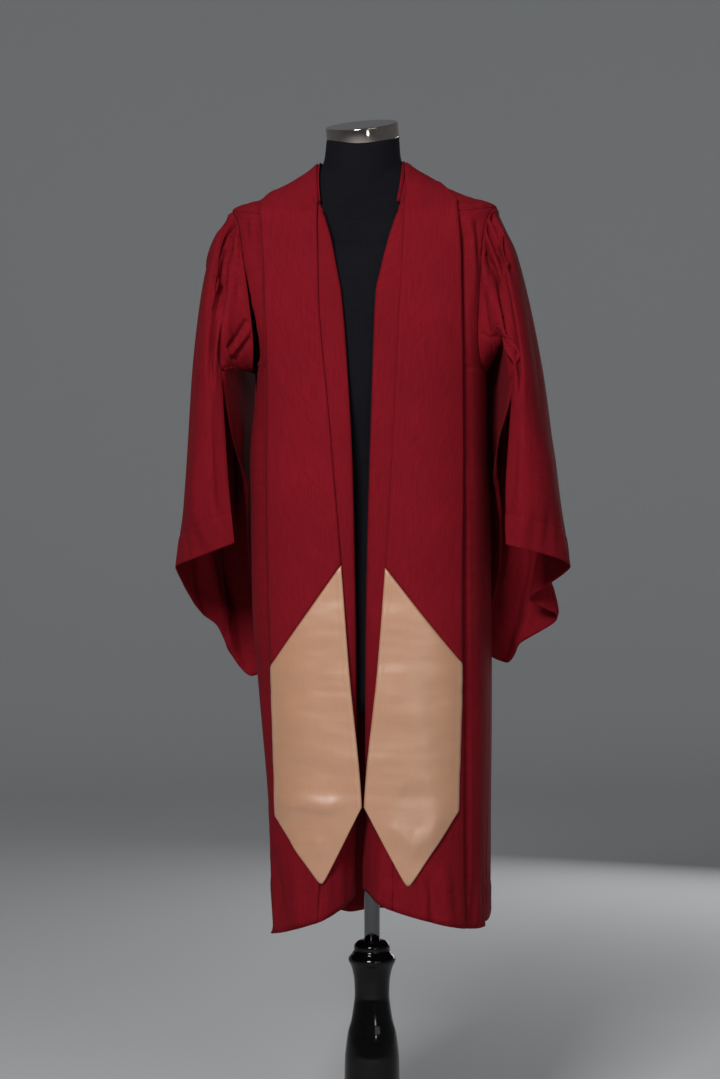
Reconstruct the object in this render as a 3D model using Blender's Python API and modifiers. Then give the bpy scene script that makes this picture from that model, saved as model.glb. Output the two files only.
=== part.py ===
"""A graduation gown with its stole, hung on a dress form. Metres, +Z up.

The gown's front faces -Y and the wearer's right is -X. The origin is the centre
of the stand's underside. Each cloth piece is a strip of one shared surface, or a
sleeve loft, with a Solidify modifier for its wall.
"""
import math

import bpy
from mathutils import Vector

# Cloth
WALL = 0.0016
STOLE_WALL = 0.0022
SEAM = 0.0003
STOLE_EASE = 0.0010
STOLE_LIFT = WALL / 2 + SEAM + STOLE_EASE + STOLE_WALL / 2

# Stand
POLE_RADIUS = 0.0117
FORM_FOOT = 0.700
POST_TOP = 0.3490
BASE_RADIUS = 0.165
BASE_HEIGHT = 0.026
CAP_RADIUS = 0.0545
CAP_HEIGHT = 0.0225
NECK_SLOPE, NECK_ROLL = 0.313, 0.066

# Rows of the dressed body, from the neck down: ring 0 is the form's neck, ring 1
# the neckline, ring 4 the yoke seam, ring 7 the armpit and the last one the hem.
RING_COLUMNS = ("centre", "half_width", "front", "back", "middle",
                "z_front", "z_side", "z_back", "square")
RINGS = (
    (-0.0136, 0.0545, 0.0545, 0.0545, 0.000, 1.538, 1.5495, 1.561, 2.0),
    (-0.0140, 0.0625, 0.0790, 0.0600, 0.000, 1.384, 1.516, 1.530, 4.0),
    (-0.0125, 0.1000, 0.0740, 0.0780, 0.000, 1.432, 1.4865, 1.500, 3.0),
    (-0.0120, 0.1500, 0.0780, 0.0950, 0.000, 1.428, 1.4625, 1.455, 2.8),
    (-0.0115, 0.1990, 0.0810, 0.1050, 0.000, 1.424, 1.4415, 1.405, 2.6),
    (-0.0105, 0.1960, 0.0980, 0.1150, 0.000, 1.375, 1.385, 1.360, 2.6),
    (-0.0060, 0.1870, 0.1180, 0.1180, 0.000, 1.300, 1.305, 1.290, 2.6),
    (-0.0035, 0.1740, 0.1300, 0.1160, 0.005, 1.200, 1.200, 1.200, 2.7),
    (-0.0063, 0.1773, 0.1330, 0.1170, 0.015, 1.085, 1.085, 1.085, 2.8),
    (-0.0038, 0.1788, 0.1350, 0.1200, 0.020, 1.010, 1.010, 1.010, 2.9),
    (-0.0030, 0.1787, 0.1370, 0.1300, 0.040, 0.860, 0.860, 0.860, 3.0),
    (0.0008, 0.1750, 0.1390, 0.1420, 0.055, 0.708, 0.704, 0.702, 3.0),
    (0.0035, 0.1705, 0.1410, 0.1500, 0.065, 0.562, 0.550, 0.545, 3.0),
    (0.0062, 0.1666, 0.1430, 0.1560, 0.065, 0.418, 0.380, 0.368, 3.0),
)
NECKLINE, YOKE_SEAM, ARMPIT, HEM = 1.0, 4.0, 7.0, float(len(RINGS) - 1)
NECKBAND_END = 1.22
NECK_TURN = 54.0
TURN_GAP = 0.8
BAND_TOP = (1.0, 1.9)
SHOULDER_HEIGHTS = (1.45, 1.425)
RING_GAP = 0.024
NECKBAND_GAP = 0.034
SIDE_GAP = 0.004
# How far forward each side seam has come at the hem, in degrees
SIDE_SHIFT = {"right": 0.0, "left": 14.0}
DROP_POWER = 2.5

# How far the dress form lies inside each ring: side, front, back, down, and its
# own squareness.
FORM_COLUMNS = ("ring", "side", "front", "back", "down", "front_down", "square")
FORM = (
    (0.0, 0.0000, 0.0000, 0.0000, 0.0000, 0.0000, 2.0),
    (1.0, 0.0028, 0.0210, 0.0020, 0.0022, -0.0850, 2.0),
    (2.0, 0.0012, 0.0170, 0.0080, 0.0020, 0.0080, 3.0),
    (3.0, 0.0012, 0.0150, 0.0090, 0.0018, 0.0180, 2.8),
    (4.0, 0.0080, 0.0110, 0.0100, 0.0040, 0.0300, 2.5),
    (5.0, 0.0180, 0.0110, 0.0120, 0.0000, 0.0080, 2.3),
    (6.0, 0.0240, 0.0100, 0.0130, 0.0000, 0.0000, 2.2),
    (7.0, 0.0220, 0.0120, 0.0140, 0.0000, 0.0000, 2.2),
    (8.0, 0.0380, 0.0300, 0.0200, 0.0000, 0.0000, 2.2),
    (9.0, 0.0420, 0.0380, 0.0220, 0.0000, 0.0000, 2.2),
    (10.0, 0.0300, 0.0340, 0.0240, 0.0000, 0.0000, 2.2),
    (11.0, 0.0290, 0.0400, 0.0320, 0.0000, 0.0000, 2.2),
)

# The front opening: each band's free edge, and how far it curls back.
EDGE_COLUMNS = ("z", "right", "left", "curl", "lift")
EDGES = (
    (1.500, -0.0720, 0.0440, 0.000, 0.000),
    (1.450, -0.0680, 0.0470, 0.000, 0.000),
    (1.388, -0.0506, 0.0328, 0.000, 0.000),
    (1.345, -0.0413, 0.0235, 0.000, 0.000),
    (1.307, -0.0335, 0.0168, 0.000, 0.000),
    (1.182, -0.0222, 0.0135, 0.000, 0.000),
    (1.046, -0.0150, 0.0090, 0.003, 0.000),
    (0.920, -0.0120, 0.0050, 0.008, 0.000),
    (0.780, -0.0100, 0.0020, 0.015, 0.000),
    (0.600, -0.0105, -0.0010, 0.035, 0.002),
    (0.380, -0.0170, -0.0080, 0.075, 0.018),
)
# How wide each band is, from the hem up
BAND_WIDTHS = ((0.38, 0.051), (0.60, 0.046), (0.90, 0.038), (1.50, 0.038))
BAND_GAP = 0.020
# Each front's hem: its height at the middle and how fast it falls to the side.
HEM_LINE = {"right": (0.423, 0.36), "left": (0.429, 0.32)}

# The stole's edges on the fronts, seen from the front.
STOLE_COLUMNS = ("z", "right_in", "right_out", "left_in", "left_out")
STOLE_EDGES = (
    (1.500, -0.0760, -0.1660, 0.0560, 0.1250),
    (1.460, -0.0745, -0.1610, 0.0555, 0.1290),
    (1.360, -0.0690, -0.1510, 0.0540, 0.1375),
    (1.290, -0.0653, -0.1470, 0.0513, 0.1390),
    (1.150, -0.0512, -0.1420, 0.0458, 0.1406),
    (1.000, -0.0382, -0.1417, 0.0383, 0.1413),
    (0.913, -0.0310, -0.1408, 0.0330, 0.1400),
    (0.765, -0.0195, -0.1362, 0.0220, 0.1394),
    (0.560, -0.0005, -0.1303, 0.0028, 0.1344),
    (0.400, 0.0030, -0.1260, 0.0000, 0.1314),
)
# Heights of the stole's corners: first front row, satin seam and pointed end.
STOLE_CORNERS = {
    "right": {"top": (1.462, 1.441), "seam": (0.9133, 0.7651),
              "end": (0.5655, 0.5485), "point": 0.1035},
    "left": {"top": (1.462, 1.441), "seam": (0.9098, 0.7703),
             "end": (0.5655, 0.5588), "point": 0.1095},
}
# The stole bridges the yoke seam: how far it stands off, and about which ring.
STOLE_BRIDGE, BRIDGE_AT, BRIDGE_RINGS = 0.0027, 3.6, 1.2
STOLE_OVER_SHOULDER = {
    "right": ((179.8, 1.14, 3.25), (135.0, 1.14, 3.05), (90.0, 1.12, 2.72)),
    "left": ((179.8, 1.14, 3.25), (135.0, 1.14, 2.90), (90.0, 1.12, 2.34)),
}

# Sleeves, a row per station round the loop: from the front free edge, round the
# outside and the back, to the inner free edge.
SLEEVE_COLUMNS = ("u", "seam_angle", "head_out", "head_back", "head_up",
                  "mid_out", "mid_back", "mid_up", "low_out", "low_back", "low_up",
                  "hem_out", "hem_back", "hem_up")
SLEEVES = {
    "right": (
        (0.00, 0, 0.196, -0.052, 1.203, 0.2120, -0.092, 1.197, 0.2010, -0.098, 1.030, 0.1926, -0.100, 0.9449),
        (0.10, 42, 0.203, -0.082, 1.275, 0.2250, -0.108, 1.190, 0.2230, -0.112, 1.025, 0.2110, -0.105, 0.9375),
        (0.22, 95, 0.214, -0.082, 1.345, 0.2420, -0.095, 1.190, 0.2480, -0.104, 1.018, 0.2360, -0.092, 0.9285),
        (0.34, 140, 0.237, -0.050, 1.368, 0.2620, -0.055, 1.190, 0.2700, -0.068, 1.013, 0.2640, -0.070, 0.9185),
        (0.44, 178, 0.2508, 0.000, 1.3575, 0.2718, -0.003, 1.188, 0.2790, -0.018, 1.010, 0.2921, -0.028, 0.9057),
        (0.57, 222, 0.238, 0.062, 1.345, 0.2580, 0.058, 1.184, 0.2690, 0.050, 0.998, 0.2786, 0.050, 0.8500),
        (0.66, 255, 0.218, 0.084, 1.330, 0.2350, 0.088, 1.180, 0.2450, 0.087, 0.985, 0.2510, 0.090, 0.8160),
        (0.74, 285, 0.205, 0.090, 1.310, 0.2160, 0.100, 1.172, 0.2220, 0.104, 0.975, 0.2400, 0.104, 0.7850),
        (0.81, 308, 0.197, 0.080, 1.280, 0.1990, 0.095, 1.172, 0.1980, 0.107, 0.965, 0.1990, 0.110, 0.7372),
        (0.87, 325, 0.189, 0.062, 1.248, 0.1790, 0.086, 1.188, 0.1730, 0.114, 0.985, 0.1730, 0.124, 0.7650),
        (0.94, 344, 0.191, 0.020, 1.218, 0.1900, 0.030, 1.190, 0.1930, 0.048, 1.040, 0.1980, 0.064, 0.9300),
        (1.00, 360, 0.196, -0.052, 1.203, 0.2120, -0.092, 1.197, 0.2060, -0.050, 1.115, 0.1895, 0.018, 1.0300),
    ),
    "left": (
        (0.00, 0, 0.189, -0.066, 1.234, 0.2119, -0.098, 1.1740, 0.2030, -0.096, 1.015, 0.2045, -0.100, 0.9432),
        (0.10, 42, 0.188, -0.083, 1.268, 0.2235, -0.112, 1.1700, 0.2260, -0.112, 1.012, 0.2230, -0.104, 0.9380),
        (0.22, 95, 0.195, -0.082, 1.345, 0.2370, -0.097, 1.1760, 0.2500, -0.102, 1.008, 0.2450, -0.094, 0.9325),
        (0.34, 140, 0.210, -0.048, 1.372, 0.2510, -0.055, 1.1850, 0.2700, -0.066, 1.005, 0.2710, -0.073, 0.9245),
        (0.44, 178, 0.2187, 0.000, 1.366, 0.2570, 0.000, 1.1880, 0.2798, -0.015, 1.006, 0.2951, -0.028, 0.9098),
        (0.57, 222, 0.208, 0.060, 1.350, 0.2450, 0.056, 1.1840, 0.2620, 0.046, 0.996, 0.2440, 0.040, 0.8600),
        (0.66, 255, 0.194, 0.084, 1.332, 0.2260, 0.086, 1.1800, 0.2500, 0.084, 0.980, 0.2740, 0.074, 0.8290),
        (0.74, 285, 0.184, 0.090, 1.310, 0.2070, 0.100, 1.1720, 0.2230, 0.102, 0.970, 0.2260, 0.097, 0.7940),
        (0.81, 308, 0.181, 0.080, 1.280, 0.1900, 0.095, 1.1720, 0.1930, 0.107, 0.965, 0.1945, 0.110, 0.7601),
        (0.87, 325, 0.170, 0.062, 1.248, 0.1560, 0.086, 1.1880, 0.1540, 0.114, 0.985, 0.1640, 0.122, 0.7850),
        (0.94, 344, 0.182, 0.015, 1.226, 0.1830, 0.030, 1.1900, 0.1860, 0.046, 1.040, 0.1920, 0.062, 0.9400),
        (1.00, 360, 0.189, -0.066, 1.234, 0.2119, -0.098, 1.1740, 0.1905, -0.045, 1.095, 0.1810, 0.016, 1.0400),
    ),
}
SLEEVE_LEVELS = (0.0, 0.20, 0.42, 0.70, 1.0)
SLIT_LEVEL = 0.42
SLEEVE_PUFF = {"right": 0.004, "left": 0.001}
# Troughs down the sleeves: where round the loop they start and end, the levels
# they run between, their depth and their half width round the loop.
FOLD_COLUMNS = ("u_top", "u_bottom", "start", "end", "depth", "width")
SLEEVE_FOLDS = {
    "right": ((0.30, 0.075, 0.02, 0.50, 0.0140, 0.040),
              (0.235, 0.150, 0.02, 0.30, 0.0080, 0.030),
              (0.385, 0.300, 0.05, 0.75, 0.0045, 0.040),
              (0.56, 0.60, 0.05, 1.20, 0.0060, 0.040),
              (0.70, 0.70, 0.10, 1.20, 0.0060, 0.035)),
    "left": ((0.30, 0.075, 0.02, 0.50, 0.0140, 0.040),
             (0.235, 0.140, 0.02, 0.36, 0.0080, 0.030),
             (0.385, 0.310, 0.05, 0.55, 0.0045, 0.040),
             (0.56, 0.60, 0.05, 1.20, 0.0060, 0.040),
             (0.70, 0.70, 0.10, 1.20, 0.0060, 0.035)),
}
ARMHOLE_TURN = 28.0
ARMHOLE_POWER = 3.0
ARMHOLE_INSET = 0.968

# Gathers of the back panel
BACK_FLUTES = 8
FLUTE_FADE = 42.0
FLUTE_COLUMNS = ("ring", "depth")
FLUTE_DEPTHS = ((4.0, 0.0), (4.35, 0.0035), (5.5, 0.007), (7.0, 0.009),
                (9.0, 0.012), (11.0, 0.015), (13.0, 0.019))

# Turned post, height and radius from the top ring down to the foot
POST_PROFILE = (
    (0.3490, 0.0210), (0.3403, 0.0270), (0.3345, 0.0270), (0.3320, 0.0288),
    (0.3290, 0.0302), (0.3255, 0.0336), (0.3208, 0.0356), (0.3160, 0.0340),
    (0.3118, 0.0318), (0.3028, 0.0291), (0.2878, 0.0267), (0.2683, 0.0261),
    (0.2488, 0.0282), (0.2293, 0.0314), (0.2113, 0.0362), (0.1918, 0.0390),
    (0.1723, 0.0408), (0.1408, 0.0414), (0.1100, 0.0400), (0.0850, 0.0372),
    (0.0650, 0.0375), (0.0480, 0.0440), (0.0363, 0.0560), (0.0263, 0.0700),
)


class Curve:
    """A smooth curve through knots that never swings past them."""

    def __init__(self, at, values):
        self.at, self.values = list(at), list(values)
        steps = [b - a for a, b in zip(self.at, self.at[1:])]
        rises = [(b - a) / h for a, b, h in zip(self.values, self.values[1:], steps)]
        self.slopes = [rises[0]]
        for i in range(1, len(steps)):
            a, b = rises[i - 1], rises[i]
            self.slopes.append(2 * a * b / (a + b) if a * b > 0 else 0.0)
        self.slopes.append(rises[-1])

    def __call__(self, t):
        at = self.at
        i = max(k for k in range(len(at) - 1) if k == 0 or at[k] <= t)
        h = at[i + 1] - at[i]
        s = min(max((t - at[i]) / h, 0.0), 1.0)
        a, b = self.values[i], self.values[i + 1]
        return (a * (1 + 2 * s) * (1 - s) ** 2 + b * s * s * (3 - 2 * s)
                + h * s * (1 - s) * ((1 - s) * self.slopes[i] - s * self.slopes[i + 1]))


def table(columns, rows, key):
    """Curves of every column of a table over its key column."""
    named = {c: [row[i] for row in rows] for i, c in enumerate(columns)}
    order = sorted(range(len(rows)), key=lambda k: named[key][k])
    at = [named[key][k] for k in order]
    return {c: Curve(at, [named[c][k] for k in order]) for c in columns if c != key}


RING = {c: Curve(range(len(RINGS)), [row[i] for row in RINGS])
        for i, c in enumerate(RING_COLUMNS)}
INSET = table(FORM_COLUMNS, FORM, "ring")
EDGE = table(EDGE_COLUMNS, EDGES, "z")
STOLE = table(STOLE_COLUMNS, STOLE_EDGES, "z")
FLUTE = Curve(*zip(*FLUTE_DEPTHS))
BAND = Curve(*zip(*BAND_WIDTHS))
SIDES = {"right": -1, "left": 1}


def mix(a, b, t):
    return a + (b - a) * t


def spread(a, b, count):
    return [mix(a, b, i / (count - 1)) for i in range(count)]


def ring_point(size, angle):
    """A point of one ring. The angle is 0 at the front and positive to the left."""
    turn = math.radians(angle)
    across, along = math.sin(turn), math.cos(turn)
    power = 2 / size["square"]
    x = size["centre"] + size["half_width"] * math.copysign(abs(across) ** power, across)
    depth = size["front"] if along > 0 else size["back"]
    share = abs(along) ** power
    reach = depth + size["middle"] if along > 0 else depth - size["middle"]
    y = size["middle"] - math.copysign(reach * share, along)
    z_far = size["z_front"] if along > 0 else size["z_back"]
    z = mix(size["z_side"], z_far, share ** DROP_POWER)
    return Vector((x, y, z))


def body(ring, angle):
    """A point of the gown's body surface."""
    return ring_point({c: RING[c](ring) for c in RING_COLUMNS}, angle)


def outward(ring, angle):
    """The surface's outward direction."""
    across = body(ring, angle + 0.5) - body(ring, angle - 0.5)
    down = body(min(ring + 0.02, HEM), angle) - body(max(ring - 0.02, 0), angle)
    return across.cross(down).normalized() * -1


def lifted(ring, angle, lift):
    return body(ring, angle) + outward(ring, angle) * lift


def on_front(x, z):
    """The ring and the angle of the front point with this x and z."""
    low, high = NECKLINE, HEM
    for _ in range(24):
        ring = (low + high) / 2
        angle = angle_at(ring, lambda _: x)
        low, high = (ring, high) if body(ring, angle).z > z else (low, ring)
    return ring, angle


def angle_at(ring, x_at):
    """The angle where this ring's x meets a curve of x over z."""
    low, high = -90.0, 90.0
    for _ in range(24):
        angle = (low + high) / 2
        here = body(ring, angle)
        low, high = (angle, high) if here.x < x_at(here.z) else (low, angle)
    return angle


def armhole(side, angle, share=1.0):
    """Ring and angle on the armhole's loop: 0 at the armpit, 90 in front, 180 on top."""
    turn = math.radians(angle)
    power = 2 / ARMHOLE_POWER
    down = math.copysign(abs(math.cos(turn)) ** power, math.cos(turn)) * share
    front = math.copysign(abs(math.sin(turn)) ** power, math.sin(turn)) * share
    middle, reach = (YOKE_SEAM + ARMPIT) / 2, (ARMPIT - YOKE_SEAM) / 2
    return middle + reach * down, SIDES[side] * (90 - ARMHOLE_TURN * front)


def armhole_turn(ring):
    """How far the armhole's edge lies from the side line at this ring, in degrees."""
    share = abs(2 * ring - YOKE_SEAM - ARMPIT) / (ARMPIT - YOKE_SEAM)
    return ARMHOLE_TURN * max(1 - share ** ARMHOLE_POWER, 0) ** (1 / ARMHOLE_POWER)


# Meshes and objects

def material(name, colour, roughness, metallic=0.0):
    made = bpy.data.materials.new(name)
    made.use_nodes = True
    shader = made.node_tree.nodes["Principled BSDF"]
    shader.inputs["Base Color"].default_value = (*colour, 1)
    shader.inputs["Roughness"].default_value = roughness
    shader.inputs["Metallic"].default_value = metallic
    made.diffuse_color = (*colour, 1)
    return made


def add_object(name, mesh, look, parts):
    made = bpy.data.objects.new(name, mesh)
    mesh.materials.append(look)
    parts.objects.link(made)
    return made


def loft(name, rows, look, parts, wall=None, joined=0, ends=False):
    """A surface through rows of points. `joined` rows close round into a loop."""
    count = len(rows[0])
    points, index = [], []
    for r, row in enumerate(rows):
        line = []
        for c, point in enumerate(row):
            if c == count - 1 and r < joined:
                line.append(line[0])
            else:
                line.append(len(points))
                points.append(point)
        index.append(line)
    faces = [(a[c], b[c], b[c + 1], a[c + 1])
             for a, b in zip(index, index[1:]) for c in range(count - 1)]
    if ends:
        faces += [index[0][:count - 1], index[-1][:count - 1][::-1]]
    mesh = bpy.data.meshes.new(name)
    mesh.from_pydata(points, [], faces)
    mesh.shade_smooth()
    made = add_object(name, mesh, look, parts)
    if wall:
        solid = made.modifiers.new("Wall", "SOLIDIFY")
        solid.thickness, solid.offset = wall, 0
        solid.use_even_offset = True
    return made


def turned(name, profile, look, parts, steps=20):
    """A solid turned round its own Z from (radius, height) points, top to bottom."""
    points = [(0, 0, profile[0][1])] + [(r, 0, z) for r, z in profile] + [(0, 0, profile[-1][1])]
    mesh = bpy.data.meshes.new(name)
    mesh.from_pydata(points, [(i, i + 1) for i in range(len(points) - 1)], [])
    made = add_object(name, mesh, look, parts)
    screw = made.modifiers.new("Turn", "SCREW")
    screw.steps = screw.render_steps = steps
    screw.use_merge_vertices = True
    screw.merge_threshold = 0.00001
    return made


# Pieces

def strip(side, rings, near, far, columns):
    """Rows of surface points between two angles that depend on the ring."""
    rows = []
    for ring in rings:
        angles = [SIDES[side] * a for a in spread(near(ring), far(ring), columns)]
        rows.append([settle_hem(side, ring, a, body(ring, a)) for a in angles])
    return rows


def edge_turn(side, share):
    """The turn, as a function of the ring, of a line across the band: 0 is its free edge."""
    sign = SIDES[side]

    def turn(ring):
        if ring >= YOKE_SEAM:
            return sign * angle_at(
                ring, lambda z: EDGE[side](z) + sign * BAND(z) * share)
        down = (ring - NECKLINE) / (YOKE_SEAM - NECKLINE)
        z = mix(*SHOULDER_HEIGHTS, down)
        x = EDGE[side](z) + sign * BAND(z) * share
        return min(sign * angle_at(ring, lambda _: x), NECK_TURN)
    return turn


def settle_hem(side, ring, angle, point):
    """Draws the lowest rows of a front piece to the hem's own slope."""
    share = (ring - HEM + 2) / 2
    if share > 0:
        level, slope = HEM_LINE[side]
        foot = body(HEM, angle)
        wanted = level - slope * abs(foot.x - RING["centre"](HEM))
        point.z += (wanted - foot.z) * share ** 2
    return point


def upper_rings():
    """Rings from the yoke seam to the armpit, closer together where the armhole turns."""
    rings = [armhole("left", angle)[0] for angle in range(180, -1, -18)]
    return [rings[0] + RING_GAP] + rings[1:]


def body_rings():
    return upper_rings() + spread(ARMPIT, HEM, 10)[1:]


def band_rows(side):
    rows = []
    sign = SIDES[side]
    over = [(t, True) for t in spread(0, 1, 7)]
    for at, above in over + [(ring, False) for ring in body_rings()]:
        row = []
        for share in spread(0, 1, 5):
            ring = mix(mix(*BAND_TOP, share), YOKE_SEAM, at) if above else at
            turn = edge_turn(side, (1 - BAND_GAP) * share)(ring)
            point = settle_hem(side, ring, sign * turn, body(ring, sign * turn))
            back = (1 - share) ** 2
            point.y += EDGE["curl"](point.z) * back
            point.z += EDGE["lift"](point.z) * back
            row.append(point)
        rows.append(row)
    return rows


def side_turn(side, ring):
    """Where the side seam, or above it the armhole's front edge, lies at this ring."""
    if ring < ARMPIT:
        return 90 - armhole_turn(ring)
    return 90 - SIDE_SHIFT[side] * ((ring - ARMPIT) / (HEM - ARMPIT)) ** 2


def seam_room(turn):
    """Half of the side seam's gap there, in degrees."""
    return SIDE_GAP + 0.034 * min(max(90 - turn, 0), 4)


def front_rows(side):
    def far(ring):
        return side_turn(side, ring) - seam_room(side_turn(side, ring))
    return strip(side, body_rings(), edge_turn(side, 1), far, 13)


def yoke_rows():
    """From the right band's seam, round the back, to the left band's."""
    rows = []
    above = spread(NECKBAND_END + NECKBAND_GAP, BAND_TOP[1], 3)[:-1]
    for ring in above + spread(BAND_TOP[1], YOKE_SEAM, 7):
        right, left = (turn if turn < NECK_TURN else NECK_TURN + TURN_GAP
                       for turn in (edge_turn(side, 1)(ring) for side in SIDES))
        rows.append([body(ring, -a if a < 180 else 360 - a)
                     for a in spread(right, 360 - left, 37)])
    return rows


def neckband_rows():
    rows = []
    for ring in spread(NECKLINE, NECKBAND_END, 3):
        end = NECK_TURN + TURN_GAP
        rows.append([body(ring, -a if a < 180 else 360 - a)
                     for a in spread(end, 360 - end, 33)])
    return rows


def back_point(ring, turn):
    """A point of the gathered back. The turn runs from 90 at the right side seam."""
    start = 90 + ARMHOLE_TURN * min(max((ARMPIT + 1.5 - ring) / 3, 0), 1)
    fade = min(max(min(turn - start, 360 - start - turn) / FLUTE_FADE, 0), 1) ** 1.5
    wave = math.cos(math.pi * BACK_FLUTES * (turn - 90) / 90) * fade
    angle = -turn if turn < 180 else 360 - turn
    return lifted(ring, angle, FLUTE(ring) * wave)


def back_rows():
    rows = []
    for ring in body_rings():
        start = 90 + armhole_turn(ring) if ring < ARMPIT else side_turn("right", ring)
        end = 90 + armhole_turn(ring) if ring < ARMPIT else side_turn("left", ring)
        rows.append([back_point(ring, a) for a in spread(
            start + seam_room(start), 360 - end - seam_room(end), 46)])
    return rows


def sleeve_point(side, u, v):
    """A point of the sleeve: u round the loop, v from the armhole to the hem."""
    size = SLEEVE[side]
    sign = SIDES[side]
    seat = armhole(side, size["seam_angle"](u), ARMHOLE_INSET)
    levels = [lifted(*seat, 0.0006)]
    for level in ("head", "mid", "low", "hem"):
        levels.append(Vector((sign * size[level + "_out"](u),
                              size[level + "_back"](u), size[level + "_up"](u))))
    point = Vector([Curve(SLEEVE_LEVELS, [p[k] for p in levels])(v) for k in range(3)])
    top = math.exp(-((u - 0.44) / 0.16) ** 2)
    point.x += sign * SLEEVE_PUFF[side] * top * math.sin(math.pi * min(v / 0.2, 1))
    return point


def sleeve_folds(side, u, v):
    """How far the troughs press the cloth in."""
    total = 0.0
    for u_top, u_bottom, start, end, depth, width in SLEEVE_FOLDS[side]:
        share = (v - start) / (end - start)
        if 0 < share < 1:
            line = mix(u_top, u_bottom, share)
            ends = min(1, share / 0.15, (1 - share) / 0.3)
            total += depth * ends * math.exp(-((u - line) / width) ** 2)
    return total


def sleeve_rows(side):
    levels = spread(0, SLIT_LEVEL, 9) + spread(SLIT_LEVEL, 1, 10)[1:]
    rows = []
    for v in levels:
        row = []
        for u in spread(0, 1, 26):
            point = sleeve_point(side, u, v)
            inside = Vector((SIDES[side] * 0.225, 0, point.z)) - point
            inside.z = 0
            row.append(point + inside.normalized() * sleeve_folds(side, u, v))
        rows.append(row)
    return rows


def stole_place(side, inner, outer, point, w):
    """Ring and angle of a stole point on the front, w from its inner to its outer edge."""
    x = mix(STOLE[side + "_in"](inner), STOLE[side + "_out"](outer), w)
    return on_front(x, mix(inner, outer, w) - point * (1 - abs(2 * w - 1)))


def over_stole(ring, angle):
    """A point of the stole's own surface, lifted off the gown."""
    front = max(math.cos(math.radians(angle)), 0)
    bridge = STOLE_BRIDGE * front * math.exp(-((ring - BRIDGE_AT) / BRIDGE_RINGS) ** 2)
    return lifted(ring, angle, STOLE_LIFT + bridge)


def stole_rows(side):
    sign = SIDES[side]
    corners = STOLE_CORNERS[side]
    columns = spread(0, 1, 7)
    first = [stole_place(side, *corners["top"], 0, w) for w in columns]
    over = STOLE_OVER_SHOULDER[side]
    rows = []
    inner = Curve((0, 1, 2, 3), [180 - r[0] for r in over] + [180 - abs(first[0][1])])
    outer = Curve((0, 1, 2, 3), [180 - r[0] for r in over] + [180 - abs(first[-1][1])])
    inner_ring = Curve((0, 1, 2, 3), [r[1] for r in over] + [first[0][0]])
    outer_ring = Curve((0, 1, 2, 3), [r[2] for r in over] + [first[-1][0]])
    for t in spread(0, 3, 14)[:-1]:
        rows.append([over_stole(mix(inner_ring(t), outer_ring(t), w),
                                sign * (180 - mix(inner(t), outer(t), w)))
                     for w in columns])
    for t in (s ** 1.5 for s in spread(0, 1, 15)):
        ends = [mix(a, b, t) for a, b in zip(corners["top"], corners["seam"])]
        rows.append([over_stole(*stole_place(side, *ends, 0, w)) for w in columns])
    return rows


def stole_end_rows(side):
    corners = STOLE_CORNERS[side]
    rows = []
    for t in spread(0, 1, 9):
        ends = [mix(a - 2 * SEAM, b, t) for a, b in zip(corners["seam"], corners["end"])]
        rows.append([over_stole(*stole_place(side, *ends, corners["point"] * t, w))
                     for w in spread(0, 1, 7)])
    return rows


def form_rows():
    rows = []
    for ring in [0, 0.5, 0.8] + spread(1, 2, 6) + spread(2, 7, 11)[1:] + spread(7, 11, 6)[1:]:
        size = {c: RING[c](ring) for c in RING_COLUMNS}
        size["half_width"] -= INSET["side"](ring)
        size["front"] -= INSET["front"](ring)
        size["back"] -= INSET["back"](ring)
        size["square"] = INSET["square"](ring)
        for height in ("z_front", "z_side", "z_back"):
            size[height] -= INSET["down"](ring)
        size["z_front"] -= INSET["front_down"](ring)
        rows.append([ring_point(size, a) for a in spread(-180, 180, 29)])
    for point in rows[0]:
        point.z = (NECK["z_side"] + point.y * NECK_SLOPE
                   + (point.x - NECK["centre"]) * NECK_ROLL)
    for point in rows[-1]:
        point.z = FORM_FOOT
    return rows


NECK = dict(zip(RING_COLUMNS, RINGS[0]))
SLEEVE = {side: table(SLEEVE_COLUMNS, rows, "u") for side, rows in SLEEVES.items()}


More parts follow.
